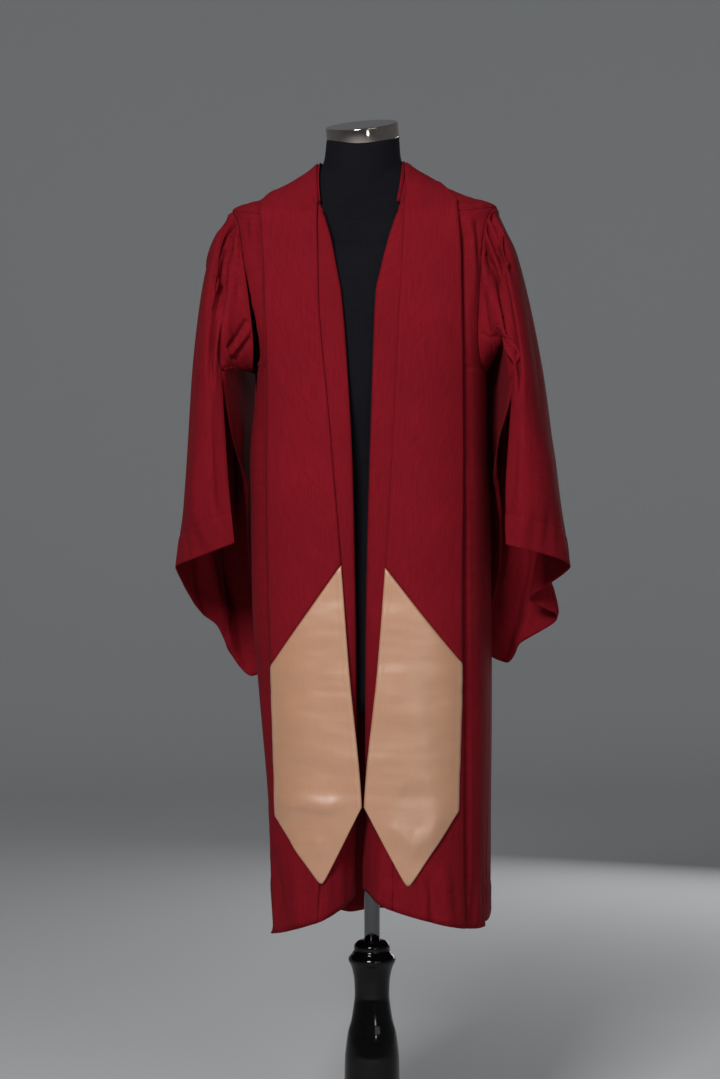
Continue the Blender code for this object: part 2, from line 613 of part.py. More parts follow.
def main():
    for old in list(bpy.data.objects):
        bpy.data.objects.remove(old)
    parts = bpy.data.collections.new("graduation_gown")
    bpy.context.scene.collection.children.link(parts)

    maroon = (0.175, 0.0095, 0.0145)
    cloth = lambda name: material(name, maroon, 0.72)
    satin = lambda name: material(name, (0.45, 0.25, 0.15), 0.38)
    black = material("form_black", (0.007, 0.006, 0.009), 0.85)
    lacquer = material("post_lacquer", (0.004, 0.003, 0.003), 0.22)
    chrome = material("chrome", (0.52, 0.46, 0.42), 0.18, 1.0)
    steel = material("pole_steel", (0.28, 0.28, 0.29), 0.3, 1.0)
    base_paint = material("base_paint", (0.006, 0.005, 0.005), 0.35)

    loft("yoke", yoke_rows(), cloth("yoke_cloth"), parts, WALL)
    loft("neckband", neckband_rows(), cloth("neckband_cloth"), parts, WALL)
    loft("back", back_rows(), cloth("back_cloth"), parts, WALL)
    for side in SIDES:
        loft(f"front_{side}", front_rows(side), cloth(f"front_{side}_cloth"), parts, WALL)
        loft(f"band_{side}", band_rows(side), cloth(f"band_{side}_cloth"), parts, WALL)
        loft(f"sleeve_{side}", sleeve_rows(side), cloth(f"sleeve_{side}_cloth"), parts,
             WALL, joined=9)
        loft(f"stole_{side}", stole_rows(side), cloth(f"stole_{side}_cloth"), parts,
             STOLE_WALL)
        loft(f"stole_end_{side}", stole_end_rows(side), satin(f"stole_end_{side}_satin"),
             parts, STOLE_WALL)

    loft("form_torso", form_rows(), black, parts, joined=99, ends=True)

    cap = turned("neck_cap", ((CAP_RADIUS - 0.002, CAP_HEIGHT), (CAP_RADIUS, CAP_HEIGHT - 0.002),
                              (CAP_RADIUS, 0.002), (CAP_RADIUS - 0.002, 0.0)),
                 chrome, parts, steps=32)
    cap.location = (NECK["centre"], 0, NECK["z_side"] + SEAM)
    cap.rotation_euler = (math.atan(NECK_SLOPE), -math.atan(NECK_ROLL), 0)

    turned("pole", ((POLE_RADIUS, FORM_FOOT - SEAM), (POLE_RADIUS, POST_TOP + SEAM)), steel, parts)
    turned("stand_post", [(r, z) for z, r in POST_PROFILE], lacquer, parts)
    turned("stand_base", ((BASE_RADIUS - 0.010, BASE_HEIGHT), (BASE_RADIUS - 0.003, BASE_HEIGHT - 0.003),
                          (BASE_RADIUS, BASE_HEIGHT - 0.010), (BASE_RADIUS, 0.004),
                          (BASE_RADIUS - 0.003, 0.0)), base_paint, parts, steps=48)


main()
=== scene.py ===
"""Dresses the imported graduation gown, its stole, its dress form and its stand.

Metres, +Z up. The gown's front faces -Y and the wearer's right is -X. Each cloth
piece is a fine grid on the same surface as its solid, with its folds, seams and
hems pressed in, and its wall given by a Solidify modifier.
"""

import enum
import logging
import math
from dataclasses import dataclass, field
from typing import Callable, Sequence

import bpy
import numpy as np
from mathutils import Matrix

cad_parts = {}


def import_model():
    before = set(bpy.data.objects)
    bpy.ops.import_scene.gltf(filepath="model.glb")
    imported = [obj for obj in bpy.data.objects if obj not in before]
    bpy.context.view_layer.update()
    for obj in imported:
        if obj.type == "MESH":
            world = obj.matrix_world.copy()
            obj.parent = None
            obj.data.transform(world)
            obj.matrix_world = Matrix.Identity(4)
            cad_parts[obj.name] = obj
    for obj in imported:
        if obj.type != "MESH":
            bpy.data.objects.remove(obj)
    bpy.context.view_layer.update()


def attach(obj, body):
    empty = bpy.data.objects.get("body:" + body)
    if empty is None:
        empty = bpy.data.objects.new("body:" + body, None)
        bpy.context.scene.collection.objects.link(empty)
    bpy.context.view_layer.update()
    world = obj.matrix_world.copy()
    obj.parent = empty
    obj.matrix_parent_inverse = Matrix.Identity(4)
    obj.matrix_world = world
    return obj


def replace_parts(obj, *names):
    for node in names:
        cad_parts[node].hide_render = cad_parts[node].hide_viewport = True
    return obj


LOG = logging.getLogger("graduation_gown")

Rows = Sequence[Sequence[float]]


class Side(enum.Enum):
    """A side of the wearer, with the sign of its X."""

    RIGHT = -1
    LEFT = 1

    @property
    def word(self) -> str:
        """The side's name in the names of pieces."""
        return self.name.lower()


# Smooth curves and tables

class Curve:
    """A smooth curve through knots that never swings past them."""

    def __init__(self, at: Sequence[float], values: Sequence[float]) -> None:
        """Keeps the knots and works out a slope at each.

        Args:
            at: where the knots are, rising.
            values: the curve's values there.
        """
        self.at = np.asarray(at, float)
        self.values = np.asarray(values, float)
        rises = np.diff(self.values) / np.diff(self.at)
        before, after = rises[:-1], rises[1:]
        total = np.where(before + after == 0, 1, before + after)
        middle = np.where(before * after > 0, 2 * before * after / total, 0)
        self.slopes = np.concatenate([rises[:1], middle, rises[-1:]])

    def __call__(self, t: np.ndarray) -> np.ndarray:
        """The curve's values at t."""
        t = np.asarray(t, float)
        i = np.clip(np.searchsorted(self.at, t, side="right") - 1, 0, len(self.at) - 2)
        step = self.at[i + 1] - self.at[i]
        s = np.clip((t - self.at[i]) / step, 0, 1)
        a, b = self.values[i], self.values[i + 1]
        return (a * (1 + 2 * s) * (1 - s) ** 2 + b * s * s * (3 - 2 * s)
                + step * s * (1 - s) * ((1 - s) * self.slopes[i] - s * self.slopes[i + 1]))


def table(columns: Sequence[str], rows: Rows, key: str) -> dict[str, Curve]:
    """Curves of every column of a table over its key column.

    Args:
        columns: the names of the columns.
        rows: the table's rows.
        key: the column that the others run over.

    Returns:
        A curve for each other column, by its name.
    """
    named = {c: [row[i] for row in rows] for i, c in enumerate(columns)}
    order = sorted(range(len(rows)), key=lambda k: named[key][k])
    at = [named[key][k] for k in order]
    return {c: Curve(at, [named[c][k] for k in order]) for c in columns if c != key}


def mix(a: np.ndarray, b: np.ndarray, t: np.ndarray) -> np.ndarray:
    """The value at share t of the way from a to b."""
    return a + (b - a) * t


def bell(distance: np.ndarray, width: float) -> np.ndarray:
    """A soft bump of height 1 that fades over a width."""
    return np.exp(-(distance / width) ** 2)


def ramp(value: np.ndarray, low: float, high: float) -> np.ndarray:
    """A smooth step from 0 at low to 1 at high."""
    t = np.clip((value - low) / (high - low), 0, 1)
    return t * t * (3 - 2 * t)


# The view

@dataclass(frozen=True)
class View:
    """The camera of the picture, and where points are seen in it."""

    turn: float = 6.0
    distance: float = 3.3
    height: float = 0.95
    aside: float = -0.018
    metres_a_pixel: float = 0.0015
    wide: int = 720
    tall: int = 1079
    sensor: float = 36.0

    def axes(self) -> tuple[np.ndarray, np.ndarray]:
        """The picture's right and the way from the object to the camera."""
        a = math.radians(self.turn)
        return (np.array([math.cos(a), math.sin(a), 0]),
                np.array([math.sin(a), -math.cos(a), 0]))

    def place(self) -> np.ndarray:
        """Where the camera stands."""
        right, back = self.axes()
        return np.array([0, 0, self.height]) + back * self.distance + right * self.aside

    def seen(self, points: np.ndarray) -> np.ndarray:
        """Where points are in the picture.

        Args:
            points: an array of points, with x, y and z last.

        Returns:
            Their across and down, in the picture's pixels.
        """
        right, back = self.axes()
        away = points - self.place()
        ahead = -(away @ back)
        scale = self.distance / self.metres_a_pixel / ahead
        return np.stack([self.wide / 2 + (away @ right) * scale,
                         self.tall / 2 - away[..., 2] * scale], -1)

    def build(self) -> bpy.types.Object:
        """Makes the camera and makes it the scene's."""
        data = bpy.data.cameras.new("camera")
        made = bpy.data.objects.new("camera", data)
        bpy.context.scene.collection.objects.link(made)
        made.location = self.place()
        made.rotation_euler = (math.pi / 2, 0, math.radians(self.turn))
        data.sensor_width = self.sensor
        data.lens = self.sensor * self.distance / (self.tall * self.metres_a_pixel)
        bpy.context.scene.camera = made
        return made


VIEW = View()


@dataclass(frozen=True)
class Fold:
    """A crease, trough or ridge that runs along a line in the picture.

    A depth above 0 pushes the cloth out. The fold is as wide as `width` on the
    line's right-hand side as it runs, and as wide as `far_width` on the other.
    """

    path: tuple[tuple[float, float], ...]
    depth: float
    width: float
    far_width: float = 0.0
    start: float = 0.15
    end: float = 0.15

    def relief(self, seen: np.ndarray) -> np.ndarray:
        """How far the fold moves each point outwards.

        Args:
            seen: the points' places in the picture.

        Returns:
            The heights, in metres.
        """
        best = np.full(seen.shape[:-1], 1e9)
        signed = np.zeros(seen.shape[:-1])
        along = np.zeros(seen.shape[:-1])
        knots = np.array(self.path, float)
        lengths = np.linalg.norm(np.diff(knots, axis=0), axis=1)
        total, done = lengths.sum(), 0.0
        for a, b, length in zip(knots, knots[1:], lengths):
            line = (b - a) / length
            away = seen - a
            share = np.clip(away @ line, 0, length)
            gap = away - share[..., None] * line
            distance = np.linalg.norm(gap, axis=-1)
            nearer = distance < best
            side = away[..., 0] * -line[1] + away[..., 1] * line[0]
            best = np.where(nearer, distance, best)
            signed = np.where(nearer, np.where(side > 0, distance, -distance), signed)
            along = np.where(nearer, (share + done) / total, along)
            done += length
        wide = np.where(signed > 0, self.width, self.far_width or self.width)
        fade = 1.0
        if self.start:
            fade = fade * ramp(along, 0, self.start)
        if self.end:
            fade = fade * ramp(1 - along, 0, self.end)
        return self.depth * bell(best, wide) * fade


# The dressed body

RING_COLUMNS = ("centre", "half_width", "front", "back", "middle",
                "z_front", "z_side", "z_back", "square")
RINGS = (
    (-0.0136, 0.0545, 0.0545, 0.0545, 0.000, 1.538, 1.5495, 1.561, 2.0),
    (-0.0140, 0.0625, 0.0790, 0.0600, 0.000, 1.384, 1.516, 1.530, 4.0),
    (-0.0125, 0.1000, 0.0740, 0.0780, 0.000, 1.432, 1.4865, 1.500, 3.0),
    (-0.0120, 0.1500, 0.0780, 0.0950, 0.000, 1.428, 1.4625, 1.455, 2.8),
    (-0.0115, 0.1990, 0.0810, 0.1050, 0.000, 1.424, 1.4415, 1.405, 2.6),
    (-0.0105, 0.1960, 0.0980, 0.1150, 0.000, 1.375, 1.385, 1.360, 2.6),
    (-0.0060, 0.1870, 0.1180, 0.1180, 0.000, 1.300, 1.305, 1.290, 2.6),
    (-0.0035, 0.1740, 0.1300, 0.1160, 0.005, 1.200, 1.200, 1.200, 2.7),
    (-0.0063, 0.1773, 0.1330, 0.1170, 0.015, 1.085, 1.085, 1.085, 2.8),
    (-0.0038, 0.1788, 0.1350, 0.1200, 0.020, 1.010, 1.010, 1.010, 2.9),
    (-0.0030, 0.1787, 0.1370, 0.1300, 0.040, 0.860, 0.860, 0.860, 3.0),
    (0.0008, 0.1750, 0.1390, 0.1420, 0.055, 0.708, 0.704, 0.702, 3.0),
    (0.0035, 0.1705, 0.1410, 0.1500, 0.065, 0.562, 0.550, 0.545, 3.0),
    (0.0062, 0.1666, 0.1430, 0.1560, 0.065, 0.418, 0.380, 0.368, 3.0),
)
NECKLINE, YOKE_SEAM, ARMPIT, HEM = 1.0, 4.0, 7.0, float(len(RINGS) - 1)

# How far the dress form lies inside each ring.
FORM_COLUMNS = ("ring", "side", "front", "back", "down", "front_down", "square")
FORM = (
    (0.0, 0.0000, 0.0000, 0.0000, 0.0000, 0.0000, 2.0),
    (1.0, 0.0028, 0.0210, 0.0020, 0.0022, -0.0850, 2.0),
    (2.0, 0.0012, 0.0170, 0.0080, 0.0020, 0.0080, 3.0),
    (3.0, 0.0012, 0.0150, 0.0090, 0.0018, 0.0180, 2.8),
    (4.0, 0.0080, 0.0110, 0.0100, 0.0040, 0.0300, 2.5),
    (5.0, 0.0180, 0.0110, 0.0120, 0.0000, 0.0080, 2.3),
    (6.0, 0.0240, 0.0100, 0.0130, 0.0000, 0.0000, 2.2),
    (7.0, 0.0220, 0.0120, 0.0140, 0.0000, 0.0000, 2.2),
    (8.0, 0.0380, 0.0300, 0.0200, 0.0000, 0.0000, 2.2),
    (9.0, 0.0420, 0.0380, 0.0220, 0.0000, 0.0000, 2.2),
    (10.0, 0.0300, 0.0340, 0.0240, 0.0000, 0.0000, 2.2),
    (11.0, 0.0290, 0.0400, 0.0320, 0.0000, 0.0000, 2.2),
)


class BodySurface:
    """The gown's body: rings from the neck down, each with an angle round it.

    The angle is 0 at the front and positive to the wearer's left.
    """

    drop_power = 2.5
    steps = 26

    def __init__(self) -> None:
        """Makes the rings' curves."""
        self.ring = {c: Curve(range(len(RINGS)), [row[i] for row in RINGS])
                     for i, c in enumerate(RING_COLUMNS)}

    def sizes(self, ring: np.ndarray) -> dict[str, np.ndarray]:
        """Every size of the rings."""
        return {c: self.ring[c](ring) for c in RING_COLUMNS}

    def on_ring(self, size: dict[str, np.ndarray], angle: np.ndarray) -> np.ndarray:
        """Points of rings of these sizes.

        Args:
            size: the rings' sizes, by column.
            angle: the angles round them, in degrees.

        Returns:
            The points.
        """
        turn = np.radians(angle)
        across, along = np.sin(turn), np.cos(turn)
        power = 2 / size["square"]
        front = along > 0
        x = size["centre"] + size["half_width"] * np.sign(across) * np.abs(across) ** power
        share = np.abs(along) ** power
        middle = size["middle"]
        reach = np.where(front, size["front"] + middle, size["back"] - middle)
        y = middle - np.sign(along) * reach * share
        z_far = np.where(front, size["z_front"], size["z_back"])
        z = mix(size["z_side"], z_far, share ** self.drop_power)
        return np.stack(np.broadcast_arrays(x, y, z), -1)

    def point(self, ring: np.ndarray, angle: np.ndarray) -> np.ndarray:
        """Points of the body's surface."""
        return self.on_ring(self.sizes(ring), np.asarray(angle, float))

    def outward(self, ring: np.ndarray, angle: np.ndarray) -> np.ndarray:
        """The surface's outward directions."""
        ring = np.asarray(ring, float)
        across = self.point(ring, angle + 0.5) - self.point(ring, angle - 0.5)
        down = (self.point(np.minimum(ring + 0.02, HEM), angle)
                - self.point(np.maximum(ring - 0.02, 0), angle))
        out = -np.cross(across, down)
        return out / np.linalg.norm(out, axis=-1, keepdims=True)

    def lifted(self, ring: np.ndarray, angle: np.ndarray, lift: np.ndarray) -> np.ndarray:
        """Points a lift away from the surface."""
        lift = np.asarray(lift, float)
        return self.point(ring, angle) + self.outward(ring, angle) * lift[..., None]

    def angle_at(self, ring: np.ndarray, x_at: Callable[[np.ndarray], np.ndarray]) -> np.ndarray:
        """The angle where a ring's x meets a curve of x over z.

        Args:
            ring: the rings.
            x_at: gives the x wanted at a height.

        Returns:
            The angles, in degrees.
        """
        size = self.sizes(ring)
        low = np.full(np.shape(ring), -90.0)
        high = np.full(np.shape(ring), 90.0)
        for _ in range(self.steps):
            angle = (low + high) / 2
            here = self.on_ring(size, angle)
            short = here[..., 0] < x_at(here[..., 2])
            low, high = np.where(short, angle, low), np.where(short, high, angle)
        return (low + high) / 2

    def on_front(self, x: np.ndarray, z: np.ndarray) -> tuple[np.ndarray, np.ndarray]:
        """The rings and angles of front points with these x and z."""
        low = np.full(np.shape(x), NECKLINE)
        high = np.full(np.shape(x), HEM)
        for _ in range(self.steps):
            ring = (low + high) / 2
            angle = self.angle_at(ring, lambda _: x)
            above = self.point(ring, angle)[..., 2] > z
            low, high = np.where(above, ring, low), np.where(above, high, ring)
        return ring, angle


BODY = BodySurface()


@dataclass(frozen=True)
class Armhole:
    """The loop on the body that each sleeve is sewn to."""

    turn: float = 28.0
    power: float = 3.0
    inset: float = 0.968

    def at(self, side: Side, angle: np.ndarray) -> tuple[np.ndarray, np.ndarray]:
        """Rings and angles on the loop: 0 at the armpit, 90 in front, 180 on top."""
        turn, power = np.radians(angle), 2 / self.power
        down = np.sign(np.cos(turn)) * np.abs(np.cos(turn)) ** power * self.inset
        front = np.sign(np.sin(turn)) * np.abs(np.sin(turn)) ** power * self.inset
        middle, reach = (YOKE_SEAM + ARMPIT) / 2, (ARMPIT - YOKE_SEAM) / 2
        return middle + reach * down, side.value * (90 - self.turn * front)

    def edge(self, ring: np.ndarray) -> np.ndarray:
        """How far the loop lies from the side line at these rings, in degrees."""
        share = np.abs(2 * ring - YOKE_SEAM - ARMPIT) / (ARMPIT - YOKE_SEAM)
        room = np.clip(1 - share ** self.power, 0, None) ** (1 / self.power)
        return np.where(ring < ARMPIT, self.turn * room, 0)


ARMHOLE = Armhole()
HEAD_SEAM = Armhole(inset=0.998)


# Cloth grids

class Edge(enum.Enum):
    """An edge of a piece's grid."""

    TOP = "top"
    BOTTOM = "bottom"
    START = "start"
    END = "end"


@dataclass
class Cloth:
    """A piece of cloth: a grid of points, rows down and columns across."""

    name: str
    points: np.ndarray
    joined: int = 0
    uv: np.ndarray = field(init=False)

    def __post_init__(self) -> None:
        """Lays out the flat cloth's own measure, before any fold is pressed in."""
        across = np.linalg.norm(np.diff(self.points[..., :2], axis=1), axis=-1)
        down = np.linalg.norm(np.diff(self.points, axis=0), axis=-1)
        middle = self.points.shape[1] // 2
        u = np.pad(np.cumsum(across, axis=1), ((0, 0), (1, 0)))
        v = np.pad(np.cumsum(down, axis=0), ((1, 0), (0, 0)))
        u -= u[:, middle:middle + 1]
        v += self.points[0, middle, 2] - self.points[0, :, 2]
        self.uv = np.stack([u, -v], -1)

    def normals(self) -> np.ndarray:
        """The grid's directions, out of its front face."""
        down = np.gradient(self.points, axis=0)
        across = np.gradient(self.points, axis=1)
        out = np.cross(down, across)
        length = np.linalg.norm(out, axis=-1, keepdims=True)
        return out / np.maximum(length, 1e-12)

    def press(self, relief: np.ndarray, out: np.ndarray | None = None) -> None:
        """Moves each point outwards by its relief, in metres."""
        self.points = self.points + (self.normals() if out is None else out) * relief[..., None]

    def fold(self, folds: Sequence[Fold], out: np.ndarray | None = None,
             where: np.ndarray | float = 1.0) -> None:
        """Presses in folds that are given by their lines in the picture."""
        seen = VIEW.seen(self.points)
        reliefs = [f.relief(seen) for f in folds]
        deep = np.minimum.reduce([np.minimum(r, 0) for r in reliefs])
        high = np.maximum.reduce([np.maximum(r, 0) for r in reliefs])
        self.press((deep + high) * where, out)

    def from_edge(self, edge: Edge) -> np.ndarray:
        """How far each point is from one of the piece's edges, along the cloth."""
        u, v = self.uv[..., 0], self.uv[..., 1]
        return {Edge.TOP: v[:1] - v, Edge.BOTTOM: v - v[-1:],
                Edge.START: u - u[:, :1], Edge.END: u[:, -1:] - u}[edge]

    def along_edge(self, edge: Edge) -> np.ndarray:
        """How far along an edge each point lies."""
        return self.uv[..., 0] if edge in (Edge.TOP, Edge.BOTTOM) else -self.uv[..., 1]

    def tuck(self, edge: Edge, depth: float = 0.0010, width: float = 0.0022) -> None:
        """Turns an edge in, where a seam draws it down."""
        self.press(-depth * bell(self.from_edge(edge), width))

    def pucker(self, edge: Edge, height: float, reach: float, wave: float,
               where: np.ndarray | float = 1.0) -> None:
        """Presses in the small uneven puckers that a seam draws.

        Args:
            edge: the edge that is sewn.
            height: half the puckers' height, in metres.
            reach: how far they run from the edge.
            wave: how far apart they are.
            where: a share for each point.
        """
        along = self.along_edge(edge)
        turn = 2 * np.pi * along / wave
        uneven = 0.6 + 0.4 * np.sin(0.37 * turn + 1.0)
        shape = np.sin(turn + 1.3 * np.sin(0.43 * turn)) * uneven
        self.press(height * shape * np.exp(-self.from_edge(edge) / reach) * where)

    def hem(self, edge: Edge, depth: float, step: float = 0.0009) -> None:
        """Presses in a hem: the double cloth, its stitch line and its ripple."""
        away = self.from_edge(edge)
        along = self.along_edge(edge)
        ripple = np.sin(2 * np.pi * along / 0.031 + 2 * np.sin(along / 0.05))
        self.press(step * ramp(depth - away, -0.0015, 0.0015)
                   - 0.0010 * bell(away - depth, 0.0018)
                   + 0.0008 * ripple * bell(away - depth * 0.8, depth * 0.7))

    def line(self, edge: Edge, depth: float, lift: float,
             trim: float = 0.0) -> np.ndarray:
        """Points of a line that runs beside an edge, just off the cloth's face.

        Args:
            edge: the edge that the line follows.
            depth: how far from it the line lies.
            lift: how far off the grid, outwards.
            trim: how much of the line is left out at both ends.

        Returns:
            The line's points, in order.
        """
        away, normal = self.from_edge(edge), self.normals()
        points = self.points + normal * lift
        if edge in (Edge.START, Edge.END):
            away, points = away.T, points.transpose(1, 0, 2)
        rising = away[-1, 0] > away[0, 0]
        if not rising:
            away, points = away[::-1], points[::-1]
        found = []
        for column in range(away.shape[1]):
            found.append([np.interp(depth, away[:, column], points[:, column, k])
                          for k in range(3)])
        found = np.array(found)
        run = np.pad(np.cumsum(np.linalg.norm(np.diff(found, axis=0), axis=1)), (1, 0))
        return found[(run >= trim) & (run <= run[-1] - trim)]

    def size(self) -> tuple[float, float, float]:
        """The cloth's usual width, its length and its area."""
        across = np.linalg.norm(np.diff(self.points, axis=1), axis=-1)
        down = np.linalg.norm(np.diff(self.points, axis=0), axis=-1)
        a = np.cross(self.points[1:, :-1] - self.points[:-1, :-1],
                     self.points[:-1, 1:] - self.points[:-1, :-1])
        b = np.cross(self.points[1:, 1:] - self.points[1:, :-1],
                     self.points[1:, 1:] - self.points[:-1, 1:])
        area = (np.linalg.norm(a, axis=-1) + np.linalg.norm(b, axis=-1)).sum() / 2
        return float(across.sum(1).max()), max(float(down.sum(0).max()), 0.0105), float(area)

    def build(self, wall: float, look: bpy.types.Material, slot: str) -> bpy.types.Object:
        """Makes the piece's mesh with its wall.

        Args:
            wall: the cloth's thickness.
            look: its material.
            slot: the record's material slot; not used.

        Returns:
            The new object, which replaces the node of its name.
        """
        rows, columns = self.points.shape[:2]
        index = np.arange(rows * columns).reshape(rows, columns)
        if self.joined:
            index[:self.joined, -1] = index[:self.joined, 0]
        faces = np.stack([index[:-1, :-1], index[1:, :-1], index[1:, 1:], index[:-1, 1:]],
                         -1).reshape(-1, 4)
        own = np.arange(rows * columns).reshape(rows, columns)
        corners = np.stack([own[:-1, :-1], own[1:, :-1], own[1:, 1:], own[:-1, 1:]],
                           -1).reshape(-1)
        used, faces = np.unique(faces, return_inverse=True)
        mesh = bpy.data.meshes.new(self.name)
        mesh.from_pydata(self.points.reshape(-1, 3)[used].tolist(), [],
                         faces.reshape(-1, 4).tolist())
        layer = mesh.uv_layers.new(name="UVMap")
        layer.data.foreach_set("uv", self.uv.reshape(-1, 2)[corners].ravel())
        mesh.shade_smooth()
        made = add_piece(self.name, mesh, look)
        solid = made.modifiers.new("wall", "SOLIDIFY")
        solid.thickness, solid.offset = wall, 0
        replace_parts(made, self.name)
        LOG.info("%s: %d faces", self.name, len(mesh.polygons))
        return made


def add_piece(name: str, mesh: bpy.types.Mesh, look: bpy.types.Material) -> bpy.types.Object:
    """Makes an object that rides on the part's one body."""
    made = bpy.data.objects.new(name + "_look", mesh)
    bpy.context.scene.collection.objects.link(made)
    mesh.materials.append(look)
    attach(made, "root")
    return made


# Finishes

def shader_of(made: bpy.types.Material) -> bpy.types.Node:
    """The material's Principled shader."""
    return made.node_tree.nodes["Principled BSDF"]


@dataclass(frozen=True)
class ClothFinish:
    """Plain woven cloth with a fine grain that follows its threads."""

    name: str
    colour: tuple[float, float, float]
    roughness: float = 0.85
    sheen: float = 0.015
    sheen_tint: tuple[float, float, float] = (0.9, 0.35, 0.35)
    thread: float = 0.0007
    bump: float = 0.25
    mottle: float = 0.14
    anisotropic: float = 0.0
    specular: float = 0.05
    ripple: float = 0.0

    def build(self) -> bpy.types.Material:
        """Makes the material."""
        made = bpy.data.materials.new(self.name)
        made.use_nodes = True
        nodes, links = made.node_tree.nodes, made.node_tree.links
        shader = shader_of(made)
        for socket, value in (("Roughness", self.roughness), ("Sheen Weight", self.sheen),
                              ("Sheen Roughness", 0.45), ("Anisotropic", self.anisotropic),
                              ("Specular IOR Level", self.specular)):
            shader.inputs[socket].default_value = value
        shader.inputs["Sheen Tint"].default_value = (*self.sheen_tint, 1)
        place = nodes.new("ShaderNodeTexCoord")

        grain = nodes.new("ShaderNodeMapping")
        grain.inputs["Scale"].default_value = (1 / self.thread, 0.05 / self.thread, 1)
        links.new(place.outputs["UV"], grain.inputs["Vector"])
        streak = nodes.new("ShaderNodeTexNoise")
        streak.inputs["Scale"].default_value = 0.35
        streak.inputs["Detail"].default_value = 2.0
        links.new(grain.outputs["Vector"], streak.inputs["Vector"])
        cross = nodes.new("ShaderNodeMapping")
        cross.inputs["Scale"].default_value = (0.05 / self.thread, 1 / self.thread, 1)
        links.new(place.outputs["UV"], cross.inputs["Vector"])
        weft = nodes.new("ShaderNodeTexNoise")
        weft.inputs["Scale"].default_value = 0.35
        weft.inputs["Detail"].default_value = 2.0
        links.new(cross.outputs["Vector"], weft.inputs["Vector"])
        broad = nodes.new("ShaderNodeTexNoise")
        broad.inputs["Scale"].default_value = 9.0
        broad.inputs["Detail"].default_value = 3.0
        links.new(place.outputs["Object"], broad.inputs["Vector"])

        both = nodes.new("ShaderNodeMath")
        both.operation = "ADD"
        links.new(streak.outputs["Fac"], both.inputs[0])
        links.new(weft.outputs["Fac"], both.inputs[1])
        threads = nodes.new("ShaderNodeMapRange")
        threads.inputs["From Min"].default_value = 0.75
        threads.inputs["From Max"].default_value = 1.25
        threads.inputs["To Min"].default_value = 1 - self.mottle
        threads.inputs["To Max"].default_value = 1 + self.mottle
        links.new(both.outputs[0], threads.inputs["Value"])
        wide = nodes.new("ShaderNodeMapRange")
        wide.inputs["From Min"].default_value = 0.3
        wide.inputs["From Max"].default_value = 0.7
        wide.inputs["To Min"].default_value = 1 - self.mottle / 2
        wide.inputs["To Max"].default_value = 1 + self.mottle / 2
        links.new(broad.outputs["Fac"], wide.inputs["Value"])
        level = nodes.new("ShaderNodeMath")
        level.operation = "MULTIPLY"
        links.new(threads.outputs["Result"], level.inputs[0])
        links.new(wide.outputs["Result"], level.inputs[1])
        shade = nodes.new("ShaderNodeVectorMath")
        shade.operation = "SCALE"
        shade.inputs[0].default_value = self.colour
        links.new(level.outputs[0], shade.inputs["Scale"])
        links.new(shade.outputs["Vector"], shader.inputs["Base Color"])

        waves = []
        for way in ("X", "Y"):
            wave = nodes.new("ShaderNodeTexWave")
            wave.bands_direction = way
            wave.inputs["Scale"].default_value = math.pi / (10 * self.thread)
            wave.inputs["Distortion"].default_value = 0.4
            links.new(place.outputs["UV"], wave.inputs["Vector"])
            waves.append(wave)
        weave = nodes.new("ShaderNodeMath")
        weave.operation = "MULTIPLY"
        links.new(waves[0].outputs["Fac"], weave.inputs[0])
        links.new(waves[1].outputs["Fac"], weave.inputs[1])
        height = nodes.new("ShaderNodeMath")
        height.operation = "MULTIPLY_ADD"
        height.inputs[1].default_value = 0.6
        links.new(weave.outputs[0], height.inputs[0])
        links.new(both.outputs[0], height.inputs[2])
        soft = nodes.new("ShaderNodeMapping")
        soft.inputs["Scale"].default_value = (6, 6, 17)
        links.new(place.outputs["Object"], soft.inputs["Vector"])
        slack = nodes.new("ShaderNodeTexNoise")
        slack.inputs["Scale"].default_value = 1.0
        slack.inputs["Detail"].default_value = 2.0
        links.new(soft.outputs["Vector"], slack.inputs["Vector"])
        drape = nodes.new("ShaderNodeBump")
        drape.inputs["Strength"].default_value = 1.0 if self.ripple else 0.0
        drape.inputs["Distance"].default_value = self.ripple
        links.new(slack.outputs["Fac"], drape.inputs["Height"])
        bump = nodes.new("ShaderNodeBump")
        bump.inputs["Strength"].default_value = self.bump
        bump.inputs["Distance"].default_value = 0.0003
        links.new(drape.outputs["Normal"], bump.inputs["Normal"])
        links.new(height.outputs[0], bump.inputs["Height"])
        links.new(bump.outputs["Normal"], shader.inputs["Normal"])
        return made


